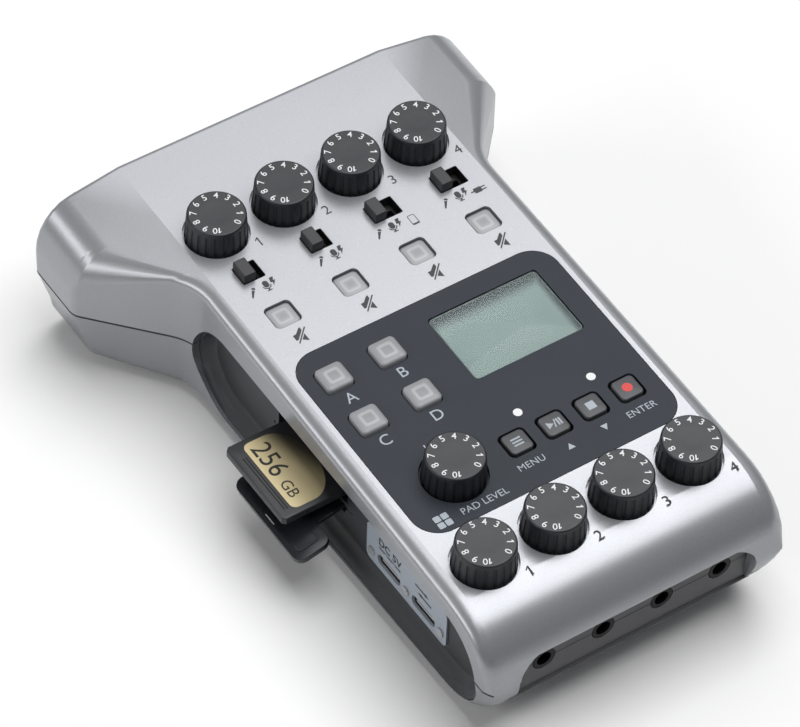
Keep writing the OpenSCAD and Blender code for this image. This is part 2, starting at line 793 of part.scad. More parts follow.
module switch_bodies() {
  color("slategray") {
    on_face() for (i = [0:3]) translate([channel_x(i), switch_row, 0]) difference() {
      plate(slot_len(i) + 2 * switch_over, switch_body_w, 0.4, board_top, body_top);
      plate(slot_len(i) - cap_l + lever, lever + 2 * free, 0.4, body_top - 3, body_top + cut);
    }
    difference() {
      box([main_hw - power_body.x, power_y - power_body.y / 2, main_top],
        [main_hw, power_y + power_body.y / 2, main_top + power_body.z]);
      translate([main_hw, power_y, power_z])
        box([-power_slot.x, -power_slot.y / 2 - power_travel - free, -power_slot.z / 2],
          [cut, power_slot.y / 2 + power_travel + free, power_slot.z / 2]);
    }
  }
}

module key_contacts() {
  places = concat(
    [for (i = [0:3]) [channel_x(i), mute_row]],
    [for (i = [0:3]) pad_place(i)],
    [for (i = [0:3]) key_place(i)]);
  color("goldenrod") on_face() for (p = places) at(p) rod(5, board_top, board_top + contact_t);
}

module main_board() {
  front = jack_y + wall + 0.3;
  shoulder_y = front_screw.y + case_post_d / 2 + 0.6;
  narrow = front_screw.x - case_post_d / 2 - 0.6;
  color("darkgreen") translate([0, 0, main_low]) linear_extrude(board_t)
    polygon([[-narrow, front], [narrow, front], [narrow, shoulder_y], [main_hw, shoulder_y],
      [main_hw, bay_y - bay_d / 2 - bay_wall - 1], [-main_hw, bay_y - bay_d / 2 - bay_wall - 1],
      [-main_hw, shoulder_y], [-narrow, shoulder_y]]);
}

// A 3.5 mm socket with its mouth at the origin, facing -Y
module jack() {
  difference() {
    union() {
      rotate([-90, 0, 0]) cylinder(d = jack_d, h = jack_collar);
      box([-jack_body / 2, jack_collar, -main_drop], [jack_body / 2, jack_len, main_drop]);
    }
    translate([0, -cut, 0]) rotate([-90, 0, 0]) cylinder(d = jack_bore, h = jack_len + cut - 1);
  }
}

module headphone_sockets() {
  color("black") for (i = [0:3]) translate([jack_x(i), jack_y, split_z]) jack();
}

module phone_socket() {
  color("black") translate([floor_x, phone_y, split_z]) rotate([0, 0, 90]) jack();
}

module card_socket() {
  mouth = -back_x + 1.6;
  inner = card_x + card_l + card_out - 1;
  color("lightsteelblue") difference() {
    box([mouth, card_y - card_w / 2 - 1.2, main_top],
      [inner + 1, card_y + card_w / 2 + 1.2, card_z + card_t / 2 + 0.8]);
    box([mouth - cut, card_y - card_w / 2 - free, card_z - card_t / 2 - free],
      [inner, card_y + card_w / 2 + free, card_z + card_t / 2 + free]);
  }
}

module usb_sockets() {
  color("silver") for (s = [-1, 1]) translate([0, usb_y + s * usb_pitch / 2, usb_z]) difference() {
    along_x(-floor_x, -floor_x + usb_len) rounded(usb_w, usb_h, usb_h / 2.2);
    along_x(-floor_x - cut, -floor_x + usb_len - 1) difference() {
      rounded(usb_w - 0.6, usb_h - 0.6, (usb_h - 0.6) / 2.2);
      square([usb_w - 2.4, 0.7], center = true);
    }
  }
}

module connector_plate() {
  color("lightsteelblue") difference() {
    along_x(-floor_x - plate_t, -floor_x) translate([usb_y, plate_z]) rounded(usb_plate_l, usb_plate_h, 1.5);
    for (s = [-1, 1])
      along_x(-floor_x - plate_t - cut, -floor_x + cut)
        translate([usb_y + s * usb_pitch / 2, usb_z]) rounded(usb_w, usb_h, usb_h / 2.2);
    for (s = [-1, 0, 1])
      translate([-floor_x + cut, usb_y + s * usb_pitch, usb_z]) rotate([0, -90, 0])
        cylinder(d = rivet_d / 2 + 2 * run, h = plate_t + 2 * cut);
  }
}

module plate_screws() {
  color("gainsboro") for (s = [-1, 0, 1])
    translate([-floor_x - plate_t, usb_y + s * usb_pitch, usb_z]) rotate([0, -90, 0]) {
      cylinder(d = rivet_d, h = 0.4);
      translate([0, 0, -plate_t - panel_t]) cylinder(d = rivet_d / 2, h = plate_t + panel_t);
    }
}

// Back of the head
module rear_panel() {
  clear = wall + fit;
  top = upper_half(rear_back, head_hw - clear, clear);
  base = lower_half(rear_back, head_hw - clear, clear);
  right = concat(turned([for (k = [1:len(base) - 1]) base[k]]), [[head_hw - clear, split_z]],
    [for (k = [1:len(top) - 1]) top[k]]);
  color("dimgray") difference() {
    along_y(rear_back, rear_y) polygon(concat(right, turned(mirrored(right))));
    for (i = [0:3]) {
      translate([mic_x(i), rear_back - cut, mic_z]) rotate([-90, 0, 0])
        cylinder(d = mic_shell_d + 2 * fit, h = rear_t + 2 * cut);
      box([mic_x(i) - latch_w / 2 - free, rear_back - cut, latch_low - free],
        [mic_x(i) + latch_w / 2 + free, rear_y + cut, latch_top + cut]);
    }
  }
}

module mic_shells() {
  color("black") for (i = [0:3]) translate([mic_x(i), 0, mic_z]) rotate([90, 0, 0]) translate([0, 0, -rear_y])
    difference() {
      union() {
        cylinder(d = mic_shell_d, h = mic_depth);
        translate([0, 0, rear_t]) cylinder(d = mic_flange_d, h = mic_flange_t);
      }
      translate([0, 0, -cut]) cylinder(d = mic_bore, h = mic_depth + cut - 1.5);
    }
}

module mic_inserts() {
  insert_d = 15.6;
  floor_y = mic_depth - 1.5;
  color("black") for (i = [0:3]) translate([mic_x(i), 0, mic_z]) rotate([90, 0, 0]) translate([0, 0, -rear_y])
    difference() {
      translate([0, 0, 1]) cylinder(d = insert_d, h = floor_y - 1);
      for (a = [90, 210, 330]) rotate([0, 0, a]) translate([3.9, 0, 0]) cylinder(d = 2.7, h = floor_y - 2);
    }
}

module mic_latch(i) {
  inner = rear_y - latch_len;
  outer = y_case + latch_out;
  step = rear_y - 1;
  bevel = 0.6;
  color("black") along_x(mic_x(i) - latch_w / 2, mic_x(i) + latch_w / 2)
    polygon([[inner, latch_low], [outer - bevel, latch_low], [outer, latch_low + bevel],
      [outer, latch_top - bevel], [outer - bevel, latch_top], [step, latch_top],
      [step, latch_low + latch_stem], [inner, latch_low + latch_stem]]);
}

// Power supply
module battery_cells() {
  color("saddlebrown") for (s = [-1, 1])
    translate([0, bay_y + s * (cell_d + cell_gap) / 2, cell_z]) rotate([0, 90 * s, 0]) {
      translate([0, 0, -cell_l / 2]) cylinder(d = cell_d, h = cell_l - 1.2);
      translate([0, 0, cell_l / 2 - 1.2]) cylinder(d = 5.2, h = 1.2);
    }
}

module battery_contacts() {
  plate_w = 9;
  sheet = 0.5;
  color("gainsboro") for (sx = [-1, 1], sy = [-1, 1])
    translate([sx * bay_w / 2, bay_y + sy * (cell_d + cell_gap) / 2, cell_z]) rotate([0, -90 * sx, 0]) {
      plate(plate_w, plate_w, 1, 0, sheet);
      translate([0, 0, sheet]) cylinder(d1 = 7, d2 = 4, h = contact_gap - sheet);
    }
}

module battery_cover() {
  w = bay_w - 2 * free;
  back = bay_y + bay_d / 2 - free;
  color("silver") difference() {
    union() {
      box([-w / 2, hatch_pin_y, foot_h], [w / 2, back, foot_h + hatch_t]);
      translate([-bay_w / 2 - bay_wall + free, hatch_pin_y, hatch_pin_z]) rotate([0, 90, 0])
        cylinder(d = hatch_pin_d, h = bay_w + 2 * bay_wall - 2 * free);
    }
    for (k = [0:2]) translate([0, back - 4 - 2 * k, foot_h]) rotate([0, 90, 0])
      translate([0, 0, -hatch_grip / 2]) cylinder(d = 1, h = hatch_grip);
  }
}

// Fasteners and feet
module feet() {
  color("black") for (sx = [-1, 1])
    for (p = [[sx * (crease_hw - 7), nose_y + 9], [sx * (head_hw - 16), y_case - 10]])
      at(p) rod(foot_d, 0, foot_h);
}

module case_screws() {
  color("dimgray") for (p = case_screw_places) at(p) {
    seat = belly(p.y, 0) + seat_deep;
    rod(screw_head_d, seat - screw_head_h, seat);
    rod(screw_d, seat, split_z + pilot_deep - pilot_gap);
  }
}

module board_screws() {
  color("dimgray") on_face() for (p = post_places) at(p) {
    rod(screw_head_d, board_low - screw_head_h, board_low);
    rod(screw_d, board_low, board_top + pilot_deep - pilot_gap);
  }
}

// Moving pieces
module memory_card() {
  notch = 4;
  color("darkkhaki") translate([card_x, card_y - card_w / 2, card_z - card_t / 2]) difference() {
    linear_extrude(card_t)
      polygon([[0, 0], [card_l - notch, 0], [card_l, notch], [card_l, card_w], [0, card_w]]);
    translate([3, 1.6, card_t - 0.25]) cube([20, card_w - 3.2, 1]);
  }
}

module card_cover() {
  cover_w = 9;
  lip = 1.4;
  color("black") translate([hinge_x, card_y, hinge_z]) {
    translate([0, -card_gap_w / 2 - ear_t + 0.3, 0]) rotate([-90, 0, 0])
      cylinder(d = pin_d, h = card_gap_w + 2 * ear_t - 0.6);
    rotate([0, -cover_droop, 0]) {
      box([-cover_reach + cover_w - 0.6, -card_gap_w / 2 + strap_in, -0.5],
        [0, -card_gap_w / 2 + strap_in + strap_w, 0.5]);
      translate([-cover_reach + cover_w / 2, -5.4, 0]) {
        plate(cover_w, cover_l, 1.6, -cover_t / 2, cover_t / 2);
        difference() {
          plate(cover_w - 3, cover_l - 4, 1.2, -cover_t / 2 - lip, -cover_t / 2);
          plate(cover_w - 4.4, cover_l - 5.4, 0.6, -cover_t / 2 - lip - cut, -cover_t / 2);
        }
      }
    }
  }
}

module power_switch() {
  color("black") translate([0, power_y, power_z]) {
    difference() {
      along_x(floor_x - 1, floor_x + 1.4) rounded(power_cap, 3, 0.4);
      for (k = [-1:1]) translate([floor_x + 1.4, k * 1.3, -2]) cylinder(d = 0.7, h = 4);
    }
    box([main_hw - 2, -1, -0.6], [floor_x - 1, 1, 0.6]);
  }
}

module knob() {
  base = -dish_depth + 0.3;
  lean = atan((knob_base_d - knob_top_d) / 2 / (knob_h - base));
  color("black") difference() {
    union() {
      rotate_extrude() polygon([[0, base], [knob_base_d / 2 - 0.2, base], [knob_base_d / 2, base + 0.2],
        [knob_top_d / 2, knob_h - 0.3], [knob_top_d / 2 - 0.3, knob_h], [0, knob_h]]);
      rod(shaft_d, body_top - pot_bore_deep + 0.3, base);
    }
    for (k = [0:flutes - 1]) rotate([0, 0, 360 * (k + 0.5) / flutes])
      translate([knob_base_d / 2 + 0.1, 0, base - cut]) rotate([0, -lean, 0])
        cylinder(r = flute_r, h = knob_h - base + cut - 0.9, $fn = 16);
  }
}

module face_knob(i) {
  on_face() at(knob_places[i]) knob();
}

module input_switch(i) {
  cap_w = slot_w - 2 * free;
  slope = 0.35;
  color("black") on_face()
    translate([channel_x(i) - slot_len(i) / 2 + free + cap_l / 2, switch_row, 0]) {
      along_y(-cap_w / 2, cap_w / 2)
        polygon([[-cap_l / 2, body_top + 0.3], [cap_l / 2, body_top + 0.3], [cap_l / 2, 0.4],
          [cap_l / 2 - slope, cap_h], [-cap_l / 2 + slope, cap_h], [-cap_l / 2, 0.4]]);
      box([-lever / 2 + free, -lever / 2, body_top - 2.4], [lever / 2 - free, lever / 2, body_top + 0.3]);
    }
}

// A push button: a square head with a bevelled top, a flange under the face and a stem down to its contact
module button(w, top, bevel) {
  intersection() {
    plate(w, w, corner_r, flange_top - eps, top);
    along_x(-w, w) polygon([[-w / 2, -board_depth], [w / 2, -board_depth], [w / 2, top - bevel],
      [w / 2 - bevel, top], [-w / 2 + bevel, top], [-w / 2, top - bevel]]);
    along_y(-w, w) polygon([[-w / 2, -board_depth], [w / 2, -board_depth], [w / 2, top - bevel],
      [w / 2 - bevel, top], [-w / 2 + bevel, top], [-w / 2, top - bevel]]);
  }
}

module face_button(place, w, hole, top, bevel) {
  on_face() at(place) {
    button(w, top, bevel);
    plate(hole + 2 * flange_out, hole + 2 * flange_out, corner_r, flange_top - flange_t, flange_top);
    rod(3, stem_low, flange_top - flange_t);
  }
}

module mute_button(i) {
  color("lightgray") face_button([channel_x(i), mute_row], mute_w, mute_hole, -mute_sunk, 0.3);
}

module pad(i) {
  color("lightgray") face_button(pad_place(i), pad_w, pad_hole, pad_h, 0.6);
}

module transport_key(i) {
  color("darkslategray") face_button(key_place(i), key_w, key_hole, key_h, 0.3);
}

upper_case();
lower_case();
left_side_panel();
right_side_panel();
control_panel();
display_window();
display_module();
control_board();
main_board();
potentiometers();
switch_bodies();
key_contacts();
light_pipes();
connector_plate();
usb_sockets();
plate_screws();
headphone_sockets();
phone_socket();
card_socket();
rear_panel();
mic_shells();
mic_inserts();
battery_cells();
battery_contacts();
feet();
case_screws();
board_screws();
memory_card();
card_cover();
battery_cover();
power_switch();
face_knob(0);  // gain_knob_1
face_knob(1);  // gain_knob_2
face_knob(2);  // gain_knob_3
face_knob(3);  // gain_knob_4
face_knob(4);  // phones_knob_1
face_knob(5);  // phones_knob_2
face_knob(6);  // phones_knob_3
face_knob(7);  // phones_knob_4
face_knob(8);  // level_knob
input_switch(0);  // input_switch_1
input_switch(1);  // input_switch_2
input_switch(2);  // input_switch_3
input_switch(3);  // input_switch_4
mute_button(0);  // mute_button_1
mute_button(1);  // mute_button_2
mute_button(2);  // mute_button_3
mute_button(3);  // mute_button_4
pad(0);  // pad_a
pad(1);  // pad_b
pad(2);  // pad_c
pad(3);  // pad_d
transport_key(0);  // menu_key
transport_key(1);  // play_key
transport_key(2);  // stop_key
transport_key(3);  // record_key
mic_latch(0);  // mic_latch_1
mic_latch(1);  // mic_latch_2
mic_latch(2);  // mic_latch_3
mic_latch(3);  // mic_latch_4
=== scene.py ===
"""Looks of a hand-held podcast recorder: silver case, dark panels, fluted dials, keys and prints."""
import json
import math

import bmesh
import bpy
from mathutils import Matrix, Vector

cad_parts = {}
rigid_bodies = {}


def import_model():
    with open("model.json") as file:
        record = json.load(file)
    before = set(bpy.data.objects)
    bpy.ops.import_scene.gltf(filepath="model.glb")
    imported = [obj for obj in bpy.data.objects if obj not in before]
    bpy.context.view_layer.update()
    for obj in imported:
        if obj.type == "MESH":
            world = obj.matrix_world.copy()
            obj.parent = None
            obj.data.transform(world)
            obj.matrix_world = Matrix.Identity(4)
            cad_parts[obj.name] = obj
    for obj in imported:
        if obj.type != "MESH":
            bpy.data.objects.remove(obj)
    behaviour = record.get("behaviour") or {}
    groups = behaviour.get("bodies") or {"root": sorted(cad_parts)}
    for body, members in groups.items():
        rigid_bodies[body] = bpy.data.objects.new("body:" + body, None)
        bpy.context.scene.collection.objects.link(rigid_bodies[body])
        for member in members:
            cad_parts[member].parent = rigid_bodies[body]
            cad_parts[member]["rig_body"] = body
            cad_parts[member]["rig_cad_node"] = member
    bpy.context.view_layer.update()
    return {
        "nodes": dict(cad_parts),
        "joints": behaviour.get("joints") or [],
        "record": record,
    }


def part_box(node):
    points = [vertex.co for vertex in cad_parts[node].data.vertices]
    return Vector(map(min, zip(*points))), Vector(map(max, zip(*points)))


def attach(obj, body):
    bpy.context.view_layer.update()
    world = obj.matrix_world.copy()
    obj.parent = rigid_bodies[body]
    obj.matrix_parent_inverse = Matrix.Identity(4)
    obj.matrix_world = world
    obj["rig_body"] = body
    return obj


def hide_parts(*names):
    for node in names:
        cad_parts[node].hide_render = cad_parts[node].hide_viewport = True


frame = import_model()
MM = 0.001
JOINT_AT = {joint["child"]: Vector(joint["pos_m"]) for joint in frame["joints"] if "pos_m" in joint}
MOUNT_AT = {mount["name"]: Vector(mount["pos_m"]) for mount in frame["record"]["mounts"]}
CHANNELS = (1, 2, 3, 4)
INK_LIFT = 0.015  # half the thickness of a print, in millimetres, so that it lies on its surface
UPRIGHT = Matrix.Rotation(math.radians(90), 4, "X")  # stands a flat drawing up to face the front

# The control face is tilted; places on it are in millimetres from its reference point
FACE = Matrix.Translation((0, -10.5 * MM, 37.7 * MM)) @ Matrix.Rotation(math.radians(2.3), 4, "X")


def turn_place(name):
    """Where a turning node's axis meets the face."""
    place = FACE.inverted() @ JOINT_AT[name] / MM
    return place.x, place.y


def middle_place(name):
    """The middle of a node, across and along the face."""
    solid = frame["nodes"][name]
    to_face = FACE.inverted() @ solid.matrix_world
    points = [to_face @ vertex.co / MM for vertex in solid.data.vertices]
    xs, ys = [point.x for point in points], [point.y for point in points]
    return (min(xs) + max(xs)) / 2, (min(ys) + max(ys)) / 2


GAIN_DIALS = {f"gain_knob_{i}": turn_place(f"gain_knob_{i}") for i in CHANNELS}
PHONES_DIALS = {f"phones_knob_{i}": turn_place(f"phones_knob_{i}") for i in CHANNELS}
LEVEL_DIAL = {"level_knob": turn_place("level_knob")}
SWITCHES = {f"input_switch_{i}": middle_place(f"input_switch_{i}") for i in CHANNELS}
MUTES = {f"mute_button_{i}": middle_place(f"mute_button_{i}") for i in CHANNELS}
PADS = {name: middle_place(name) for name in ("pad_a", "pad_b", "pad_c", "pad_d")}
KEYS = {name: middle_place(name) for name in ("menu_key", "play_key", "stop_key", "record_key")}
DISPLAY = middle_place("display_window")
CHANNEL_X = [x for x, y in GAIN_DIALS.values()]
SWITCH_ROW = SWITCHES["input_switch_1"][1]


# Places on the rest of the case, in millimetres of the frame

def box_mm(name):
    """The low and high corners of a node's box."""
    low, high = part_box(name)
    return low / MM, high / MM


SPLIT_Z = box_mm("upper_case")[0].z  # parting line between the two halves
NOSE_Y = box_mm("upper_case")[0].y
RECESS_Y, RECESS_HALF = MOUNT_AT["headphone_1"].y / MM, 30.0
JACK_X = [MOUNT_AT[f"headphone_{i}"].x / MM for i in CHANNELS]
CREASE_X = 35.2  # where the flat face turns down to the shoulders
PLATE_LOW, PLATE_HIGH = box_mm("connector_plate")
CARD_LOW, CARD_HIGH = box_mm("memory_card")


# Modelling helpers

def bare():
    """Leaves nothing selected, in object mode, ready for a new primitive."""
    if bpy.context.mode != "OBJECT":
        bpy.ops.object.mode_set(mode="OBJECT")
    bpy.ops.object.select_all(action="DESELECT")


def lone(piece):
    """Leaves one piece selected and active, in object mode."""
    bare()
    piece.select_set(True)
    bpy.context.view_layer.objects.active = piece
    return piece


def made(name):
    """Names the piece that was just added, and its mesh."""
    piece = bpy.context.view_layer.objects.active
    piece.name = name
    piece.data.name = name
    return piece


def edit(piece):
    """Opens a piece in edit mode."""
    lone(piece)
    bpy.ops.object.mode_set(mode="EDIT")


def done():
    """Closes edit mode."""
    bpy.ops.object.mode_set(mode="OBJECT")


def pick_faces(piece, test):
    """Selects the faces whose middle and normal pass the test, in edit mode."""
    bpy.ops.mesh.select_mode(type="FACE")
    bpy.ops.mesh.select_all(action="DESELECT")
    shape = bmesh.from_edit_mesh(piece.data)
    shape.normal_update()
    for face in shape.faces:
        face.select_set(test(face.calc_center_median(), face.normal))
    bmesh.update_edit_mesh(piece.data)


def pick_edges(piece, test):
    """Selects the edges whose two ends pass the test, in edit mode."""
    bpy.ops.mesh.select_mode(type="EDGE")
    bpy.ops.mesh.select_all(action="DESELECT")
    shape = bmesh.from_edit_mesh(piece.data)
    for edge in shape.edges:
        edge.select_set(test(edge.verts[0].co, edge.verts[1].co))
    bmesh.update_edit_mesh(piece.data)


def top_of(height):
    """A test for the level faces at a height."""
    return lambda middle, normal: normal.z > 0.9 and abs(middle.z - height) < 1e-3


def apply(piece, kind, **values):
    """Adds a modifier, sets its values and applies it."""
    lone(piece)
    modifier = piece.modifiers.new(kind.title(), kind)
    for key, value in values.items():
        setattr(modifier, key, value)
    bpy.ops.object.modifier_apply(modifier=modifier.name)
    return piece


def cut(piece, cutter):
    """Takes the cutter's form out of a piece, and removes the cutter."""
    apply(piece, "BOOLEAN", operation="DIFFERENCE", object=cutter, solver="EXACT")
    bpy.data.objects.remove(cutter)
    return piece


def soften(piece, width, steps=2, angle=60):
    """Rounds the edges that are sharper than an angle."""
    return apply(piece, "BEVEL", width=width, segments=steps, limit_method="ANGLE",
                 angle_limit=math.radians(angle))


def smooth(piece, angle=32):
    """Shades a piece smooth, apart from the edges that are sharper than an angle."""
    lone(piece)
    bpy.ops.object.shade_smooth_by_angle(angle=math.radians(angle))
    return piece


def even_normals(piece):
    """Lets the large faces lead the shading of the small ones beside them."""
    return apply(piece, "WEIGHTED_NORMAL", keep_sharp=True, weight=100)


def settle(piece):
    """Moves a piece's place, turn and scale into its mesh."""
    lone(piece)
    bpy.ops.object.transform_apply(location=True, rotation=True, scale=True)
    return piece


def place_at(piece, place):
    """Puts a piece that was modelled in millimetres at its place."""
    piece.matrix_world = place @ Matrix.Scale(MM, 4)
    return settle(piece)


def at(x, y, z):
    """A place in the frame, from millimetres."""
    return Matrix.Translation((x * MM, y * MM, z * MM))


def on_face(x, y, z=0.0, turn=0.0):
    """A place on the control face, turned in its plane."""
    return FACE @ at(x, y, z) @ Matrix.Rotation(math.radians(turn), 4, "Z")


def copy_of(piece, name):
    """A copy of a piece with its own mesh."""
    lone(piece)
    bpy.ops.object.duplicate()
    return made(name)


def join(pieces, name):
    """Makes one piece of several."""
    bare()
    for piece in pieces:
        piece.select_set(True)
    bpy.context.view_layer.objects.active = pieces[0]
    if len(pieces) > 1:
        bpy.ops.object.join()
    return made(name)


def dress(piece, body, material, slot, *nodes):
    """Gives a piece its material and its body, and hides the nodes that it stands for; the slot is not
    used.
    """
    piece.data.materials.clear()
    piece.data.materials.append(material)
    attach(piece, body)
    if nodes:
        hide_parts(*nodes)
    return piece


def block(name, w, d, low, high, corner=0.0, steps=6):
    """An upright block with rounded corners."""
    bare()
    bpy.ops.mesh.primitive_cube_add(size=1, location=(0, 0, (low + high) / 2))
    piece = made(name)
    piece.scale = (w, d, high - low)
    settle(piece)
    if corner:
        edit(piece)
        pick_edges(piece, lambda a, b: abs(a.z - b.z) > 1e-4)
        bpy.ops.mesh.bevel(offset=corner, segments=steps, affect="EDGES")
        done()
    return piece


def crown(piece, height, size, steps=3):
    """Rounds the edge of a block's top."""
    edit(piece)
    pick_faces(piece, top_of(height))
    bpy.ops.mesh.bevel(offset=size, segments=steps, affect="EDGES")
    done()
    return piece


def inset_top(piece, height, width, depth):
    """Steps a block's top in by a width, and down or up by a depth."""
    edit(piece)
    pick_faces(piece, top_of(height))
    bpy.ops.mesh.inset(thickness=width, depth=depth)
    done()
    return piece


def flat_uv(piece, half_x, half_y, middle_x=0.0):
    """Own UV map that runs from -1 to 1 across the piece's face, before it is put in place."""
    layer = piece.data.uv_layers.new(name="Face")
    for loop in piece.data.loops:
        co = piece.data.vertices[loop.vertex_index].co
        layer.data[loop.index].uv = ((co.x - middle_x) / half_x, co.y / half_y)
    return piece


def tidy_mesh(piece):
    """Merges doubled points and turns the normals outward."""
    edit(piece)
    bpy.ops.mesh.select_all(action="SELECT")
    bpy.ops.mesh.remove_doubles(threshold=1e-4)
    bpy.ops.mesh.normals_make_consistent(inside=False)
    done()
    return piece


# Prints and outlines

def print_of(name, outlines, thick=2 * INK_LIFT):
    """A flat printed sign or plate, from closed outlines in millimetres."""
    sign = bpy.data.curves.new(name, "CURVE")
    sign.dimensions = "2D"
    sign.fill_mode = "BOTH"
    sign.extrude = thick / 2
    for outline in outlines:
        spline = sign.splines.new("POLY")
        spline.points.add(len(outline) - 1)
        for point, (x, y) in zip(spline.points, outline):
            point.co = (x, y, 0, 1)
        spline.use_cyclic_u = True
    piece = bpy.data.objects.new(name, sign)
    bpy.context.scene.collection.objects.link(piece)
    lone(piece)
    bpy.ops.object.convert(target="MESH")
    return tidy_mesh(made(name))


def word_of(name, text, size, spacing=1.0, bold=0.0):
    """Printed letters or digits, centred, from the built-in face."""
    bare()
    bpy.ops.object.text_add()
    word = bpy.context.view_layer.objects.active
    word.data.body = text
    word.data.size = size
    word.data.extrude = INK_LIFT
    word.data.align_x = "CENTER"
    word.data.align_y = "CENTER"
    word.data.space_character = spacing
    word.data.offset = bold
    word.data.resolution_u = 4
    bpy.ops.object.convert(target="MESH")
    return tidy_mesh(made(name))


def one_line(height, width):
    """The outline of a figure one with a flag."""
    top, flag, drop = height / 2, 0.3 * height, 0.24 * height
    return [(width / 2, -top), (width / 2, top), (-width * 0.3, top), (-flag, top - drop),
            (-flag, top - drop - width), (-width / 2, top - width * 1.35), (-width / 2, -top)]


def ring_line(x, y, r, start=0.0, end=360.0, steps=24):
    """The outline of a circle, or an arc of it without its last point."""
    turns = [math.radians(start + (end - start) * k / steps) for k in range(steps)]
    return [(x + r * math.cos(turn), y + r * math.sin(turn)) for turn in turns]


def bar(x0, y0, x1, y1, width):
    """The outline of a straight stroke."""
    along = Vector((x1 - x0, y1 - y0)).normalized()
    side = Vector((-along.y, along.x)) * width / 2
    return [(x0 + side.x, y0 + side.y), (x0 - side.x, y0 - side.y),
            (x1 - side.x, y1 - side.y), (x1 + side.x, y1 + side.y)]


def rounded_line(w, d, r, x=0.0, y=0.0, steps=6):
    """The outline of a rectangle with rounded corners."""
    line = []
    for sx, sy, start in ((1, 1, 0), (-1, 1, 90), (-1, -1, 180), (1, -1, 270)):
        for k in range(steps + 1):
            turn = math.radians(start + 90 * k / steps)
            line.append((x + sx * (w / 2 - r) + r * math.cos(turn),
                         y + sy * (d / 2 - r) + r * math.sin(turn)))
    return line


# Node helpers

def node(tree, kind, **values):
    """Adds a node and sets its values."""
    added = tree.nodes.new(kind)
    for key, value in values.items():
        setattr(added, key, value)
    return added


def maths(tree, operation, *values):
    """The result of a math node; each value is a number or a linked output."""
    step = node(tree, "ShaderNodeMath", operation=operation)
    for socket, value in zip(step.inputs, values):
        if isinstance(value, bpy.types.NodeSocket):
            tree.links.new(value, socket)
        else:
            socket.default_value = value
    return step.outputs[0]


def noise(tree, where, size, detail):
    """Noise at linked coordinates and a linked size."""
    cloud = node(tree, "ShaderNodeTexNoise")
    cloud.inputs["Detail"].default_value = detail
    tree.links.new(where, cloud.inputs["Vector"])
    tree.links.new(size, cloud.inputs["Scale"])
    return cloud.outputs["Fac"]


def face_uv(tree):
    """The X and Y outputs of a piece's own UV map."""
    uv = node(tree, "ShaderNodeUVMap", uv_map="Face")
    split = node(tree, "ShaderNodeSeparateXYZ")
    tree.links.new(uv.outputs["UV"], split.inputs["Vector"])
    return split.outputs


def fade(tree, source, low, high, start=0.0, end=1.0):
    """A smooth step from start to end, while the source goes from low to high."""
    step = node(tree, "ShaderNodeMapRange", interpolation_type="SMOOTHSTEP")
    for label, value in (("From Min", low), ("From Max", high), ("To Min", start), ("To Max", end)):
        step.inputs[label].default_value = value
    tree.links.new(source, step.inputs["Value"])
    return step.outputs["Result"]


def span(tree, mask, low, high):
    """A value between two values, by a mask."""
    fit = node(tree, "ShaderNodeMapRange")
    fit.inputs["To Min"].default_value = low
    fit.inputs["To Max"].default_value = high
    tree.links.new(mask, fit.inputs["Value"])
    return fit.outputs["Result"]


def mix(tree, mask, low, high):
    """A colour between two, by a mask; the first may be a linked output."""
    blend = node(tree, "ShaderNodeMix", data_type="RGBA")
    if isinstance(low, bpy.types.NodeSocket):
        tree.links.new(low, blend.inputs["A"])
    else:
        blend.inputs["A"].default_value = (*low, 1)
    blend.inputs["B"].default_value = (*high, 1)
    tree.links.new(mask, blend.inputs["Factor"])
    return blend.outputs["Result"]


def bump(tree, shader, height, strength, distance=0.01 * MM):
    """Dents a shader's normal by a height."""
    dent = node(tree, "ShaderNodeBump")
    dent.inputs["Strength"].default_value = strength
    dent.inputs["Distance"].default_value = distance
    tree.links.new(height, dent.inputs["Height"])
    tree.links.new(dent.outputs["Normal"], shader.inputs["Normal"])


# Shared effects, as node groups

def group(name, inputs, outputs):
    """A node group with number inputs, given with their defaults, and number outputs."""
    tree = bpy.data.node_groups.new(name, "ShaderNodeTree")
    for label, value in inputs.items():
        socket = tree.interface.new_socket(name=label, in_out="INPUT", socket_type="NodeSocketFloat")
        socket.default_value = value
    for label in outputs:
        tree.interface.new_socket(name=label, in_out="OUTPUT", socket_type="NodeSocketFloat")
    return tree, tree.nodes.new("NodeGroupInput").outputs, tree.nodes.new("NodeGroupOutput").inputs


def grain_group():
    """Fine moulded grain: a speck mask, a broad blotch mask and a bump height, on Object coordinates."""
    tree, given, out = group("moulded_grain", {"Grain Size": 4000.0, "Blotch Size": 60.0},
                             ("Speck", "Blotch", "Height"))
    where = node(tree, "ShaderNodeTexCoord").outputs["Object"]
    fine = noise(tree, where, given["Grain Size"], 3)
    broad = noise(tree, where, given["Blotch Size"], 4)
    ramp = node(tree, "ShaderNodeValToRGB")
    for stop, position in zip(ramp.color_ramp.elements, (0.35, 0.65)):
        stop.position = position
    tree.links.new(fine, ramp.inputs["Fac"])
    tree.links.new(ramp.outputs["Color"], out["Speck"])
    tree.links.new(broad, out["Blotch"])
    tree.links.new(fine, out["Height"])
    return tree


def rings_group():
    """Masks of a soft square frame, a dot and a rim on a lit button, on its own UV map; the rim carries
    painted light along the button's edge.
    """
    tree, given, out = group("button_rings", {"Frame": 0.5}, ("Frame", "Dot", "Rim"))
    squareness = 6
    uv = face_uv(tree)
    powers = [maths(tree, "POWER", maths(tree, "ABSOLUTE", uv[axis]), squareness) for axis in ("X", "Y")]
    reach = maths(tree, "POWER", maths(tree, "ADD", *powers), 1 / squareness)
    gap = maths(tree, "ABSOLUTE", maths(tree, "SUBTRACT", reach, given["Frame"]))
    tree.links.new(fade(tree, gap, 0.04, 0.17, 1, 0), out["Frame"])
    tree.links.new(fade(tree, reach, 0.12, 0.34, 1, 0), out["Dot"])
    # The rim mask, for painted light along the button's edge
    tree.links.new(fade(tree, reach, 0.78, 1.0), out["Rim"])
    return tree


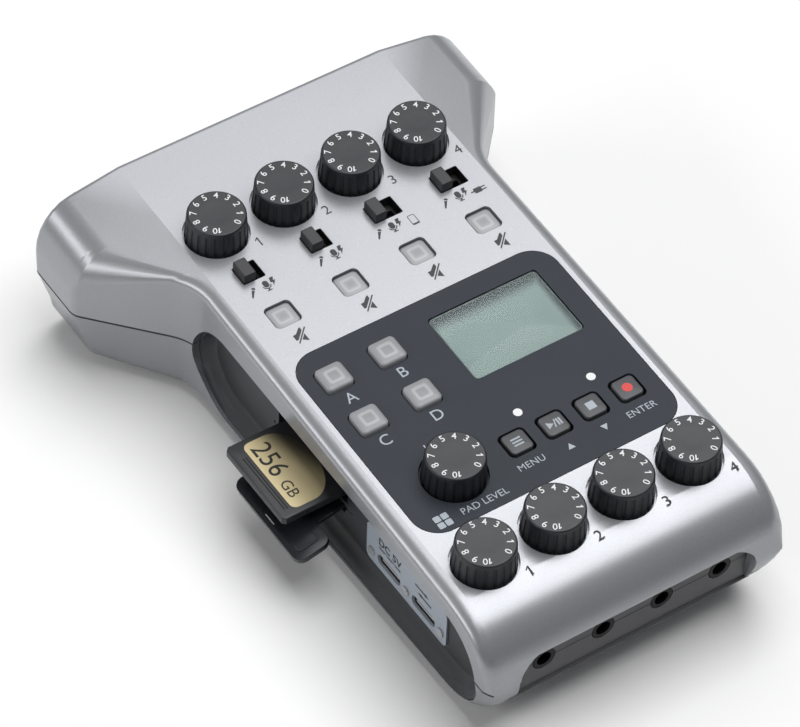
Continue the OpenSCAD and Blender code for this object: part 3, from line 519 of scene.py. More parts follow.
def brush_group():
    """Straight brushing along Y: a streak mask on Object coordinates."""
    tree, given, out = group("brushed_lines", {"Line Size": 3000.0}, ("Streak",))
    where = node(tree, "ShaderNodeTexCoord")
    stretch = node(tree, "ShaderNodeMapping")
    stretch.inputs["Scale"].default_value = (1.0, 0.02, 1.0)
    tree.links.new(where.outputs["Object"], stretch.inputs["Vector"])
    tree.links.new(noise(tree, stretch.outputs["Vector"], given["Line Size"], 2), out["Streak"])
    return tree


GRAIN, RINGS, BRUSH = grain_group(), rings_group(), brush_group()


# Materials

def new_material(name, **values):
    """A material with its Principled shader; constant values go on the shader's own sockets."""
    material = bpy.data.materials.new(name)
    material.use_nodes = True
    shader = material.node_tree.nodes["Principled BSDF"]
    for label, value in values.items():
        shader.inputs[label.replace("_", " ")].default_value = value
    return material, material.node_tree, shader


def moulded(name, dark, light, rough, grain=4000.0, depth=0.01 * MM, **values):
    """Moulded plastic or paint: fine specks, faint blotches in the gloss and a fine grain."""
    material, tree, shader = new_material(name, **values)
    finish = node(tree, "ShaderNodeGroup", node_tree=GRAIN)
    finish.inputs["Grain Size"].default_value = grain
    tree.links.new(mix(tree, finish.outputs["Speck"], dark, light), shader.inputs["Base Color"])
    tree.links.new(span(tree, finish.outputs["Blotch"], *rough), shader.inputs["Roughness"])
    bump(tree, shader, finish.outputs["Height"], 0.25, depth)
    return material


def lit_button(name, body, frame_colour, dot_colour, rim_painted_light, ring):
    """Translucent button with a soft square frame and a dot under its face, and a rim of painted light
    round its edge.
    """
    material, tree, shader = new_material(name, Subsurface_Weight=0.15, Subsurface_Scale=0.5,
                                          Subsurface_Radius=(0.002, 0.002, 0.002))
    rings = node(tree, "ShaderNodeGroup", node_tree=RINGS)
    rings.inputs["Frame"].default_value = ring
    grain = node(tree, "ShaderNodeGroup", node_tree=GRAIN)
    colour = mix(tree, grain.outputs["Blotch"], [c * 0.96 for c in body], [c * 1.04 for c in body])
    for mask, over in (("Rim", rim_painted_light), ("Frame", frame_colour), ("Dot", dot_colour)):
        colour = mix(tree, rings.outputs[mask], colour, over)
    tree.links.new(colour, shader.inputs["Base Color"])
    tree.links.new(span(tree, grain.outputs["Blotch"], 0.28, 0.4), shader.inputs["Roughness"])
    bump(tree, shader, grain.outputs["Height"], 0.08)
    return material


def brushed(name, dark, light, rough, metallic):
    """Brushed metal: streaks in the colour, the gloss and the surface."""
    material, tree, shader = new_material(name, Metallic=metallic)
    streak = node(tree, "ShaderNodeGroup", node_tree=BRUSH).outputs["Streak"]
    tree.links.new(mix(tree, streak, dark, light), shader.inputs["Base Color"])
    tree.links.new(span(tree, streak, *rough), shader.inputs["Roughness"])
    bump(tree, shader, streak, 0.15)
    return material


def shaded(name, light, shade_colour, rough, shade_of, **values):
    """A plain face that falls into shade by a mask, made on its own UV map."""
    material, tree, shader = new_material(name, **values)
    blotch = node(tree, "ShaderNodeGroup", node_tree=GRAIN).outputs["Blotch"]
    colour = mix(tree, blotch, *light)
    if shade_of:
        colour = mix(tree, shade_of(tree), colour, shade_colour)
    tree.links.new(colour, shader.inputs["Base Color"])
    tree.links.new(span(tree, blotch, *rough), shader.inputs["Roughness"])
    return material


def label_shade(tree):
    """The label darkens towards the slot and its far corner."""
    uv = face_uv(tree)
    return fade(tree, maths(tree, "MULTIPLY_ADD", uv["Y"], 0.55, uv["X"]), 0.05, 1.05)


def frame_shade(tree):
    """The display lies in the shade of its frame along the top and the right."""
    uv = face_uv(tree)
    return maths(tree, "MAXIMUM", fade(tree, uv["Y"], 0.34, 0.64), fade(tree, uv["X"], 0.84, 0.99))


SILVER = moulded("silver_paint", (0.36, 0.37, 0.395), (0.42, 0.43, 0.455), (0.27, 0.34), grain=5200,
                 depth=0.012 * MM, Metallic=0.5, Coat_Weight=0.08, Coat_Roughness=0.3)
# Darker silver in the socket recess: painted shade, the case's own silver paint in its shadow
RECESS_SHADE = moulded("recess_painted_shade", (0.075, 0.076, 0.082), (0.090, 0.091, 0.097), (0.34, 0.42), grain=5200,
                 Metallic=0.3)
# Dark grey on the lips of the parting line: painted shade of the gap between the halves
PARTING_SHADE = moulded("parting_painted_shade", (0.045, 0.046, 0.05), (0.06, 0.061, 0.066), (0.5, 0.6))
PANEL = moulded("panel_print", (0.026, 0.032, 0.042), (0.032, 0.039, 0.050), (0.46, 0.56), grain=6000,
                Specular_IOR_Level=0.22)
SIDE = moulded("side_moulding", (0.022, 0.024, 0.029), (0.030, 0.033, 0.039), (0.36, 0.46), grain=3200)
BLACK = moulded("black_moulding", (0.008, 0.008, 0.009), (0.013, 0.013, 0.014), (0.4, 0.5))
# Black plastic of the headphone socket collars, darker than the other black mouldings: painted shade of
# the socket holes
SOCKET_BLACK_SHADE = moulded("socket_black_painted_shade", (0.004, 0.004, 0.005), (0.007, 0.007, 0.008), (0.5, 0.6),
                 Specular_IOR_Level=0.2)
CAP = moulded("cap_moulding", (0.022, 0.023, 0.025), (0.030, 0.031, 0.034), (0.38, 0.5), grain=7000)
DIAL = moulded("dial_moulding", (0.013, 0.015, 0.019), (0.018, 0.020, 0.025), (0.36, 0.46), grain=7000)
KEY = moulded("key_moulding", (0.055, 0.058, 0.064), (0.068, 0.071, 0.078), (0.38, 0.48), grain=7000)
CARD = moulded("card_moulding", (0.022, 0.023, 0.026), (0.030, 0.031, 0.034), (0.4, 0.5), grain=5000)
FLAP = moulded("flap_rubber", (0.010, 0.012, 0.016), (0.015, 0.018, 0.023), (0.26, 0.38), grain=3000)
RUBBER = moulded("soft_rubber", (0.014, 0.015, 0.017), (0.022, 0.023, 0.025), (0.55, 0.7), grain=3600,
                 depth=0.02 * MM)
BOARD = moulded("board_lacquer", (0.012, 0.085, 0.035), (0.018, 0.11, 0.045), (0.3, 0.42), grain=900)
INNER = moulded("inner_metal", (0.42, 0.43, 0.45), (0.52, 0.53, 0.55), (0.3, 0.45), Metallic=0.9)
BRASS = moulded("brass_contact", (0.62, 0.45, 0.17), (0.72, 0.54, 0.24), (0.28, 0.4), Metallic=0.95)
CELL = moulded("cell_foil", (0.32, 0.17, 0.06), (0.42, 0.24, 0.09), (0.28, 0.36), Metallic=0.4)
LIGHT = moulded("light_pipe", (0.74, 0.75, 0.76), (0.80, 0.81, 0.82), (0.3, 0.4))
BEZEL = moulded("display_bezel", (0.15, 0.19, 0.185), (0.18, 0.22, 0.215), (0.4, 0.5))
STEEL = brushed("plate_steel", (0.50, 0.56, 0.64), (0.58, 0.64, 0.71), (0.34, 0.46), 0.35)
SCREW = brushed("screw_steel", (0.52, 0.53, 0.55), (0.64, 0.65, 0.67), (0.2, 0.32), 0.95)
# The mutes' darker rim is painted shade from the walls of their holes; the pads' lighter rim is a
# painted highlight on their rounded edges
MUTE = lit_button("mute_moulding", (0.34, 0.35, 0.37), (0.44, 0.45, 0.47), (0.30, 0.31, 0.33),
                  (0.22, 0.23, 0.245), 0.52)
PAD = lit_button("pad_moulding", (0.27, 0.275, 0.29), (0.40, 0.405, 0.42), (0.27, 0.275, 0.29),
                 (0.33, 0.335, 0.35), 0.46)
DARK_INK = moulded("dark_ink", (0.028, 0.030, 0.034), (0.036, 0.038, 0.043), (0.5, 0.6))
WHITE_INK = moulded("white_ink", (0.74, 0.75, 0.76), (0.80, 0.81, 0.82), (0.5, 0.6))
PALE_INK = moulded("pale_ink", (0.36, 0.40, 0.45), (0.42, 0.46, 0.51), (0.5, 0.6))
RED_INK = moulded("red_ink", (0.62, 0.035, 0.03), (0.70, 0.05, 0.04), (0.4, 0.5))
CARD_INK = moulded("card_ink", (0.018, 0.016, 0.012), (0.026, 0.023, 0.018), (0.5, 0.6))
GOLD = shaded("gold_label", ((0.60, 0.50, 0.28), (0.70, 0.60, 0.36)), (0.075, 0.068, 0.05), (0.34, 0.44),
              label_shade, Metallic=0.35)
SCREEN = shaded("display_glass", ((0.27, 0.35, 0.34), (0.30, 0.38, 0.365)), (0.065, 0.082, 0.088),
                (0.3, 0.4), frame_shade, Specular_IOR_Level=0.3)
LENS = shaded("clear_lens", ((0.90, 0.94, 0.93), (0.95, 0.97, 0.96)), None, (0.03, 0.08), None,
              Transmission_Weight=1.0, IOR=1.2)


# Case and panels: copies of the solids with merged faces, softened edges and even shading

def solid_copy(node_name, name):
    """A free copy of a node's solid, with its doubled points merged."""
    piece = copy_of(frame["nodes"][node_name], name)
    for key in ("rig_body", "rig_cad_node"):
        if key in piece:
            del piece[key]
    piece.parent = None
    edit(piece)
    bpy.ops.mesh.customdata_custom_splitnormals_clear()
    bpy.ops.mesh.select_all(action="SELECT")
    bpy.ops.mesh.remove_doubles(threshold=2e-6)
    done()
    return piece


def skin(node_name, material, slot, body="case", edge=0.0, angle=34, crease=None):
    """The visible form of a node, with its edges rounded by a size and sharp along its crease."""
    piece = solid_copy(node_name, node_name + "_skin")
    edit(piece)
    bpy.ops.mesh.select_all(action="SELECT")
    bpy.ops.mesh.dissolve_limited(angle_limit=math.radians(0.4))
    done()
    if edge:
        soften(piece, edge * MM, angle=50)
    smooth(piece, angle)
    if crease:
        edit(piece)
        pick_edges(piece, crease)
        bpy.ops.mesh.mark_sharp()
        done()
    return dress(even_normals(piece), body, material, slot, node_name)


def along_crease(a, b):
    """Edges where the flat face turns down to the shoulders."""
    near, above = 0.06, SPLIT_Z + 10
    on_it = [abs(abs(end.x) / MM - CREASE_X) < near and end.z / MM > above for end in (a, b)]
    return all(on_it) and abs(a.y - b.y) > 1e-5


def repaint(piece, material, test):
    """Gives one more material to a piece, for the faces that pass the test."""
    piece.data.materials.append(material)
    for face in piece.data.polygons:
        if test(piece, face):
            face.material_index = len(piece.data.materials) - 1
    return piece


def in_parting(piece, face):
    """The bevelled lips of the parting line, which get painted shade for the gap between the halves."""
    lip = 0.31
    heights = [abs(piece.data.vertices[v].co.z / MM - SPLIT_Z) for v in face.vertices]
    return max(heights) < lip and abs(face.normal.z) < 0.95


def in_recess(piece, face):
    """The floor and the lower wall of the socket recess, which get painted shade."""
    middle, edge, top = face.center / MM, 0.2, SPLIT_Z + 4.1
    inside = abs(middle.x) < RECESS_HALF + edge and NOSE_Y + edge < middle.y < RECESS_Y + 0.05
    return inside and abs(face.normal.x) < 0.5 and middle.z < top


def in_mouth(piece, face):
    """Everything behind the mouth of a socket in the left side, painted black as painted shade."""
    return face.center.x / MM > PLATE_HIGH.x + 0.1


# Socket recess: rounded upper ends in the nose, and painted shade along the seam between the sockets

def nose_lip():
    """The nose wall's own section, drawn across the recess and cut to the recess's rounded outline."""
    beside, half, top, behind, proud = 33.0, RECESS_HALF + 1.15, SPLIT_Z + 5.75, -60.0, 0.015
    lip = solid_copy("upper_case", "nose_lip")
    edit(lip)
    bpy.ops.mesh.select_all(action="SELECT")
    bpy.ops.mesh.bisect(plane_co=(beside * MM, 0, 0), plane_no=(1, 0, 0), use_fill=True,
                        clear_inner=True, clear_outer=True)
    for point, outward in (((0, 0, top), (0, 0, 1)), ((0, behind, 0), (0, 1, 0)),
                           ((0, 0, SPLIT_Z + 0.05), (0, 0, -1))):
        bpy.ops.mesh.select_all(action="SELECT")
        bpy.ops.mesh.bisect(plane_co=Vector(point) * MM, plane_no=outward, clear_outer=True)
    bpy.ops.mesh.select_all(action="SELECT")
    bpy.ops.transform.translate(value=((half - beside) * MM, -proud * MM, 0))
    bpy.ops.mesh.extrude_region_move(TRANSFORM_OT_translate={"value": (-2 * half * MM, 0, 0)})
    bpy.ops.mesh.select_all(action="SELECT")
    bpy.ops.mesh.normals_make_consistent(inside=False)
    done()
    wide, high, end_r, through = RECESS_HALF + 0.6, 5.9, 8.6, 12
    turns = [math.radians(9 * k) for k in range(11)]
    arch = [(wide - end_r + end_r * math.cos(turn), high * math.sin(turn)) for turn in turns]
    outline = [(wide, -1)] + arch + [(-x, z) for x, z in reversed(arch)] + [(-wide, -1)]
    cut(lip, place_at(print_of("recess_cut", [outline], through), at(0, NOSE_Y, SPLIT_Z) @ UPRIGHT))
    dress(smooth(lip, 34), "case", SILVER, "silver_case")


def nose_seam():
    """The parting line across the recess, between the socket collars: a black strip of painted shade for
    the gap.
    """
    collar_r, width = 2.9, 0.26
    collars = [x + side * collar_r for x in JACK_X for side in (-1, 1)]
    ends = [-RECESS_HALF, *collars, RECESS_HALF]
    lines = [bar(a, 0, b, 0, width) for a, b in zip(ends[::2], ends[1::2])]
    seam = place_at(print_of("nose_seam", lines), at(0, RECESS_Y - 0.02, SPLIT_Z) @ UPRIGHT)
    # Black strip: painted shade of the parting gap
    dress(seam, "case", BLACK, "black_plastic")


nose_lip()
nose_seam()

for half, crease in (("upper_case", along_crease), ("lower_case", None)):
    shell = skin(half, SILVER, "silver_case", crease=crease)
    # Painted shade: darker faces on the parting lips and in the socket recess
    repaint(repaint(shell, PARTING_SHADE, in_parting), RECESS_SHADE, in_recess)
skin("left_side_panel", SIDE, "dark_panel", angle=50)
skin("right_side_panel", SIDE, "dark_panel", angle=50)
skin("control_panel", PANEL, "dark_panel", edge=0.12)
skin("rear_panel", SIDE, "dark_panel", edge=0.15)
skin("battery_cover", SILVER, "silver_case", body="battery_cover", edge=0.15)
skin("connector_plate", STEEL, "steel_plate", edge=0.08)
skin("plate_screws", SCREW, "screw", edge=0.08)
# Socket collars: black plastic darkened with painted shade
skin("headphone_sockets", SOCKET_BLACK_SHADE, "black_plastic", edge=0.15)
skin("phone_socket", BLACK, "black_plastic", edge=0.15)
skin("mic_shells", BLACK, "black_plastic", edge=0.25)
skin("mic_inserts", BLACK, "black_plastic", edge=0.15)
# The steel inside the socket mouths is painted black: painted shade
repaint(skin("usb_sockets", SCREW, "inner_metal", edge=0.06), BLACK, in_mouth)
skin("feet", RUBBER, "rubber", edge=0.4)
skin("power_switch", CAP, "black_plastic", body="power_switch", edge=0.12)
for i in CHANNELS:
    skin(f"mic_latch_{i}", CAP, "black_plastic", body=f"mic_latch_{i}", edge=0.15)

# Nodes inside the case, the screws and the light pipes keep their own form
INNER_FINISH = {"control_board": BOARD, "main_board": BOARD, "potentiometers": INNER,
                "switch_bodies": BLACK, "key_contacts": BRASS, "card_socket": INNER,
                "battery_cells": CELL, "battery_contacts": INNER, "case_screws": SCREW,
                "board_screws": SCREW, "light_pipes": LIGHT, "display_module": SIDE}
for name, material in INNER_FINISH.items():
    solid = frame["nodes"][name]
    solid.data.materials.clear()
    solid.data.materials.append(material)


# Dials: one knob and one ring of digits, copied to each place

DIAL_BASE, DIAL_TOP = -1.1, 6.6
DIAL_LOW_R, DIAL_TOP_R = 7.25, 6.7
FLUTES, FLUTE_R, FLUTE_OUT, FLUTE_L, FLUTE_RISE = 22, 0.5, 0.2, 12, 0.55
DIGIT_R, DIGIT_STEP = 5.15, 30


def dial_flutes():
    """Rods that lean with the knob's side, to cut its flutes."""
    lean = math.atan((DIAL_LOW_R - DIAL_TOP_R) / (DIAL_TOP - DIAL_BASE))
    beside = (Matrix.Translation((DIAL_LOW_R + FLUTE_OUT, 0, DIAL_BASE))
              @ Matrix.Rotation(-lean, 4, "Y") @ Matrix.Translation((0, 0, FLUTE_RISE)))
    rods = []
    for k in range(FLUTES):
        bare()
        bpy.ops.mesh.primitive_cylinder_add(vertices=20, radius=FLUTE_R, depth=FLUTE_L)
        rod = made("flute")
        rod.matrix_world = Matrix.Rotation(2 * math.pi * (k + 0.5) / FLUTES, 4, "Z") @ beside
        rods.append(settle(rod))
    return join(rods, "flutes")


def dial_knob():
    """A tapered, fluted knob with a slightly dished top."""
    taper, top_round, foot_round = DIAL_TOP_R / DIAL_LOW_R, 0.45, 0.2
    dish = ((2.2, 0), (1.4, -0.05), (1.4, -0.03))  # width and depth of each step
    bare()
    bpy.ops.mesh.primitive_cylinder_add(vertices=144, radius=DIAL_LOW_R, depth=DIAL_TOP - DIAL_BASE,
                                        location=(0, 0, (DIAL_TOP + DIAL_BASE) / 2))
    knob = settle(made("dial"))
    edit(knob)
    pick_faces(knob, top_of(DIAL_TOP))
    bpy.ops.transform.resize(value=(taper, taper, 1))
    bpy.ops.mesh.bevel(offset=top_round, segments=3, affect="EDGES")
    pick_faces(knob, lambda middle, normal: normal.z < -0.9)
    bpy.ops.mesh.bevel(offset=foot_round, segments=2, affect="EDGES")
    done()
    cut(knob, dial_flutes())
    edit(knob)
    pick_faces(knob, lambda middle, normal: normal.z > 0.99 and middle.z > DIAL_TOP - 0.05)
    for width, depth in dish:
        bpy.ops.mesh.inset(thickness=width, depth=depth)
    done()
    return even_normals(smooth(knob, 30))


def dial_digits():
    """Figures 0 to 10 round the knob's top; each figure one is drawn with a flag."""
    one_x = {1: 0.1, 10: -0.42}
    digit_x = {10: 0.5}
    ring = []
    for n in range(11):
        figures = []
        if n in one_x:
            figures.append((print_of("one", [one_line(1.52, 0.27)]), one_x[n]))
        if n != 1:
            figures.append((word_of("digit", str(n % 10), 2.3, bold=0.01), digit_x.get(n, 0)))
        turn = Matrix.Rotation(math.radians((n - 5) * DIGIT_STEP), 4, "Z")
        for figure, x in figures:
            figure.matrix_world = turn @ Matrix.Translation((x, DIGIT_R, DIAL_TOP + INK_LIFT))
            ring.append(settle(figure))
    return join(ring, "digits")


knob_shape, digit_shape = dial_knob(), dial_digits()
for name, (x, y) in {**GAIN_DIALS, **PHONES_DIALS, **LEVEL_DIAL}.items():
    place = on_face(x, y)
    dress(place_at(copy_of(knob_shape, name + "_dial"), place), name, DIAL, "knob", name)
    dress(place_at(copy_of(digit_shape, name + "_digits"), place), name, WHITE_INK, "knob")
for shape in (knob_shape, digit_shape):
    bpy.data.objects.remove(shape)


# Slide switches: black liner in each slot, tapered cap at the slot's left end

SLOT_LENGTHS, SLOT_W = [5.8, 5.8, 7.5, 7.5], 5.5
CAP_W, CAP_D, CAP_FOOT, CAP_TOP = 3.0, 5.0, -2.4, 2.6


def slot_liner(name, length):
    """A thin black wall round the inside of a slot."""
    free, wall = 0.02, 0.1
    liner = block(name, length - free, SLOT_W - free, -2.45, -0.06, 0.38, 3)
    inside = block("slot_core", length - free - 2 * wall, SLOT_W - free - 2 * wall, -3, 1, 0.3, 3)
    return cut(liner, inside)


def slide_cap():
    """A cap that tapers to its rounded top."""
    cap = block("slide_cap", CAP_W, CAP_D, CAP_FOOT, CAP_TOP)
    edit(cap)
    pick_faces(cap, top_of(CAP_TOP))
    bpy.ops.mesh.inset(thickness=0.001, depth=0)
    bpy.ops.transform.resize(value=(0.74, 0.82, 1))
    pick_edges(cap, lambda a, b: max(a.z, b.z) > CAP_TOP - 0.1)
    bpy.ops.mesh.bevel(offset=0.22, segments=3, affect="EDGES")
    done()
    return smooth(cap, 40)


cap_shape = slide_cap()
for i, x, length in zip(CHANNELS, CHANNEL_X, SLOT_LENGTHS):
    liner = place_at(slot_liner(f"slot_liner_{i}", length), on_face(x, SWITCH_ROW))
    dress(liner, "case", BLACK, "black_plastic")
    name = f"input_switch_{i}"
    cap = place_at(copy_of(cap_shape, name + "_cap"), on_face(*SWITCHES[name]))
    dress(cap, name, CAP, "black_plastic", name)
bpy.data.objects.remove(cap_shape)


# Mute buttons, sound pads and transport keys

BUTTON_FOOT = -3.4
MUTE_W, MUTE_TOP = 6.3, -0.6
PAD_W, PAD_TOP = 6.8, 1.2
KEY_W, KEY_TOP = 5.7, 0.4


def button(name, width, top, corner, edge, steps=3):
    """A square button with rounded corners and a rounded edge round its top."""
    return crown(block(name, width, width, BUTTON_FOOT, top, corner), top, edge, steps)


mute = button("mute", MUTE_W, MUTE_TOP, corner=1.1, edge=0.3)
smooth(flat_uv(mute, MUTE_W / 2, MUTE_W / 2), 40)
pad = button("pad", PAD_W, PAD_TOP, corner=1.2, edge=0.7, steps=4)
inset_top(pad, PAD_TOP, width=0.25, depth=0.06)
smooth(flat_uv(pad, PAD_W / 2, PAD_W / 2), 40)
key = smooth(button("key", KEY_W, KEY_TOP, corner=1.1, edge=0.35), 40)
for name, (x, y) in MUTES.items():
    dress(place_at(copy_of(mute, name + "_lens"), on_face(x, y)), name, MUTE, "clear_key", name)
for name, (x, y) in PADS.items():
    dress(place_at(copy_of(pad, name + "_lens"), on_face(x, y)), name, PAD, "clear_key", name)
for name, (x, y) in KEYS.items():
    dress(place_at(copy_of(key, name + "_cap"), on_face(x, y)), name, KEY, "dark_key", name)
for shape in (mute, pad, key):
    bpy.data.objects.remove(shape)

KEY_SIGNS = {
    "menu_key": [rounded_line(2.5, 0.42, 0.1, 0, y) for y in (0.85, 0, -0.85)],
    "play_key": [[(-1.75, -0.95), (-1.75, 0.95), (-0.2, 0)], bar(-0.15, -1.05, 0.5, 1.05, 0.28),
                 bar(0.95, -0.95, 0.95, 0.95, 0.42), bar(1.6, -0.95, 1.6, 0.95, 0.42)],
    "stop_key": [rounded_line(2.1, 2.1, 0.1)],
    "record_key": [ring_line(0, 0, 1.2, steps=40)],
}
for name, outlines in KEY_SIGNS.items():
    place = on_face(*KEYS[name], KEY_TOP + INK_LIFT)
    ink = RED_INK if name == "record_key" else PALE_INK
    dress(place_at(print_of(name + "_sign", outlines), place), name, ink, "dark_key")


# Display: clear lens, bezel behind it and the screen within the bezel

def display():
    """A lens, a bezel and a screen, one behind the other in the control panel."""
    lens_w, lens_d, lens_top, bezel_top, screen_top = 28.5, 19.5, -0.12, -0.44, -0.42
    screen_w, screen_d = lens_w - 0.5, lens_d - 0.5
    lens = crown(block("display_lens", lens_w, lens_d, -0.4, lens_top, 1.2), lens_top, 0.12, 2)
    bezel = crown(block("display_bezel", lens_w, lens_d, -2.45, bezel_top, 1.2), bezel_top, 0.1, 2)
    screen = block("display_screen", screen_w, screen_d, -2.4, screen_top, 1.0)
    flat_uv(crown(screen, screen_top, 0.01, 1), screen_w / 2, screen_w / 2)
    place = on_face(*DISPLAY)
    dress(place_at(smooth(lens, 40), place), "case", LENS, "clear_lens", "display_window")
    dress(place_at(smooth(bezel, 40), place), "case", BEZEL, "display")
    dress(place_at(screen, place), "case", SCREEN, "display")


display()


# Prints on the face: channel digits, input signs, mute signs, letters and words

def stick_sign():
    """A hand-held microphone: round head and tapered grip."""
    head = ring_line(0, 1.05, 0.46, -20, 200, 16)
    grip = [(-0.34, 0.72), (0.34, 0.72), (0.17, -1.5), (-0.17, -1.5)]
    return [head, grip]


def powered_sign():
    """A microphone on a stand, with a bolt beside it."""
    x = -0.75
    head = rounded_line(1.35, 2.0, 0.65, x, 0.55)
    cup = ring_line(x, 0.2, 1.1, 180, 360, 14) + ring_line(x, 0.2, 0.86, 360, 180, 14)
    stem, foot = bar(x, -0.85, x, -1.3, 0.26), bar(x - 0.6, -1.35, x + 0.6, -1.35, 0.26)
    bolt = [(0.75, 1.75), (1.75, 1.75), (1.3, 0.75), (1.8, 0.75), (0.65, -0.75), (0.95, 0.35),
            (0.45, 0.35)]
    return [head, bolt, cup, stem, foot]


def handset_sign():
    """A telephone: a rounded frame round its screen."""
    return [rounded_line(1.8, 3.0, 0.3), rounded_line(1.48, 2.35, 0.12, 0, 0.16)]


def plug_sign():
    """A plug with two prongs and the start of its lead."""
    return [rounded_line(2.0, 1.5, 0.3, -0.6, 0), bar(0.4, 0.4, 1.5, 0.4, 0.3),
            bar(0.4, -0.4, 1.5, -0.4, 0.3), bar(-1.6, 0, -2.4, 0, 0.32)]


def hush_sign():
    """A loudspeaker that a slanted stroke crosses out."""
    above = [(-1.72, -0.83), (-1.72, 0.79), (-0.92, 0.79), (0.5, 2.08), (0.85, 2.12), (0.85, 1.2),
             (-1.19, -0.83)]
    below = [(0.87, 0.15), (0.87, -2.08), (-0.42, -1.17)]
    return [above, bar(-1.55, -1.8, 1.87, 1.69, 0.33), below]


def printed(piece, x, y, turn=0.0):
    """A print in its place on the face, a little above its surface."""
    lift = 0.02
    return place_at(piece, on_face(x, y, lift, turn))


def channel_figure(i):
    """A channel's digit; the figure one is drawn with a flag."""
    return word_of("channel", str(i), 3.7) if i > 1 else print_of("channel", [one_line(2.6, 0.33)])


def case_prints():
    """Channel digits, mute signs and input signs on the silver face."""
    stick_x = [-28.9, -11.1, 4.3, 22.05]
    stick_turn, powered_dx = -33, 4.5
    signs = []
    for i in CHANNELS:
        for (x, y), dx, dy in ((GAIN_DIALS[f"gain_knob_{i}"], 6.9, -7.1),
                               (PHONES_DIALS[f"phones_knob_{i}"], 6.95, -7.15)):
            signs.append(printed(channel_figure(i), x + dx, y + dy))
        x, y = MUTES[f"mute_button_{i}"]
        signs.append(printed(print_of("hush", hush_sign()), x + 0.25, y - 7.15))
        x = stick_x[i - 1]
        signs.append(printed(print_of("stick", stick_sign()), x, SWITCH_ROW - 5.65, stick_turn))
        signs.append(printed(print_of("powered", powered_sign()), x + powered_dx, SWITCH_ROW - 5.45))
    signs.append(printed(print_of("handset", handset_sign()), 13.2, SWITCH_ROW - 5.9))
    signs.append(printed(print_of("plug", plug_sign()), 31.1, SWITCH_ROW - 6.0))
    dress(join(signs, "case_print"), "case", DARK_INK, "silver_case")


def panel_prints():
    """Pad letters, key words and arrows, and the sound dial's signs on the dark panel."""
    signs = []
    for letter, x, y in (("A", -26.5, 4.1), ("B", -13.05, 4.3),
                         ("C", -26.6, -9.6), ("D", -13.15, -9.55)):
        signs.append(printed(word_of("letter", letter, 4.1), x, y))
    for word, x, y in (("MENU", -3.2, -31.05), ("ENTER", 25.55, -31.2)):
        signs.append(printed(word_of("word", word, 2.45, spacing=1.05), x, y))
    arrow_up = [(-0.9, -0.75), (0.9, -0.75), (0, 0.85)]
    arrow_down = [(x, -y) for x, y in arrow_up]
    signs.append(printed(print_of("up", [arrow_up]), 6.6, -31.5))
    signs.append(printed(print_of("down", [arrow_down]), 16.0, -31.1))
    four_squares = [rounded_line(1.6, 1.6, 0.3, x, y) for y in (0.95, -0.95) for x in (-0.95, 0.95)]
    signs.append(printed(print_of("squares", four_squares), -28.1, -34.1))
    signs.append(printed(word_of("word", "PAD LEVEL", 2.5), -17.6, -34.35))
    signs.append(printed(print_of("mark", [bar(0, -0.5, 0, 0.5, 0.3)]), -20.4, -15.4))
    dress(join(signs, "panel_print"), "case", PALE_INK, "dark_panel")


case_prints()
panel_prints()


# Memory card: bevelled body with grooves, foil label and digits

CARD_L, CARD_W, CARD_T = CARD_HIGH - CARD_LOW
CARD_AT = at(CARD_LOW.x, CARD_LOW.y + CARD_W / 2, CARD_LOW.z + CARD_T / 2)  # middle of the outer end


def card_body():
    """A plate with one cut corner, nipped outer corners and two grip grooves."""
    half, nip, corner = CARD_W / 2, 0.8, 4.0
    groove_w, groove_l, groove_y, groove_foot = 0.32, 17, -1.2, CARD_T / 2 - 0.2
    outline = [(0, nip - half), (nip, -half), (CARD_L - corner, -half), (CARD_L, corner - half),
               (CARD_L, half), (nip, half), (0, half - nip)]
    body = soften(print_of("card_body", [outline], CARD_T), 0.22)
    for x in (1.75, 2.45):
        groove = block("card_groove", groove_w, groove_l, groove_foot, CARD_T, 0.12, 3)
        groove.location = (x, groove_y, 0)
        cut(body, groove)
    dress(place_at(smooth(body, 35), CARD_AT), "memory_card", CARD, "card", "memory_card")


def card_label():
    """Foil with two rounded corners at the outer end and an arc at the inner end."""
    side, outer_x, inner_x, bulge, corner_r = 10.6, 3.4, 9.0, 6.6, 1.6
    bend = [(corner_r * (1 - math.sin(turn)), corner_r * (1 - math.cos(turn)))
            for turn in (0, 0.4, 0.8, 1.2, math.pi / 2)]
    near = [(outer_x + x, y - side) for x, y in bend]
    far = [(outer_x + x, side - y) for x, y in reversed(bend)]
    turns = [math.pi / 2 - math.pi * k / 24 for k in range(25)]
    arc = [(inner_x + bulge * math.cos(turn), side * math.sin(turn)) for turn in turns]
    label = print_of("card_label", [near + far + arc], thick=0.06)
    flat_uv(label, half_x=6.1, half_y=side, middle_x=9.5)
    place = CARD_AT @ at(0, 0, CARD_T / 2 + 0.01)
    dress(place_at(label, place), "memory_card", GOLD, "card")


def card_digits():
    """A plain capacity on the label, written along the card's outer end."""
    turn = Matrix.Rotation(math.radians(-90), 4, "Z")
    words = [place_at(word_of("card_word", text, size), CARD_AT @ at(x, y, CARD_T / 2 + 0.05) @ turn)
             for text, size, x, y in (("256", 6.7, 6.5, 4.1), ("GB", 3.9, 5.8, -5.2))]
    dress(join(words, "card_digits"), "memory_card", CARD_INK, "card")


card_body()
card_label()
card_digits()


# Card cover: a soft leaf on a strap, with a bead on its inner face and a finger slit

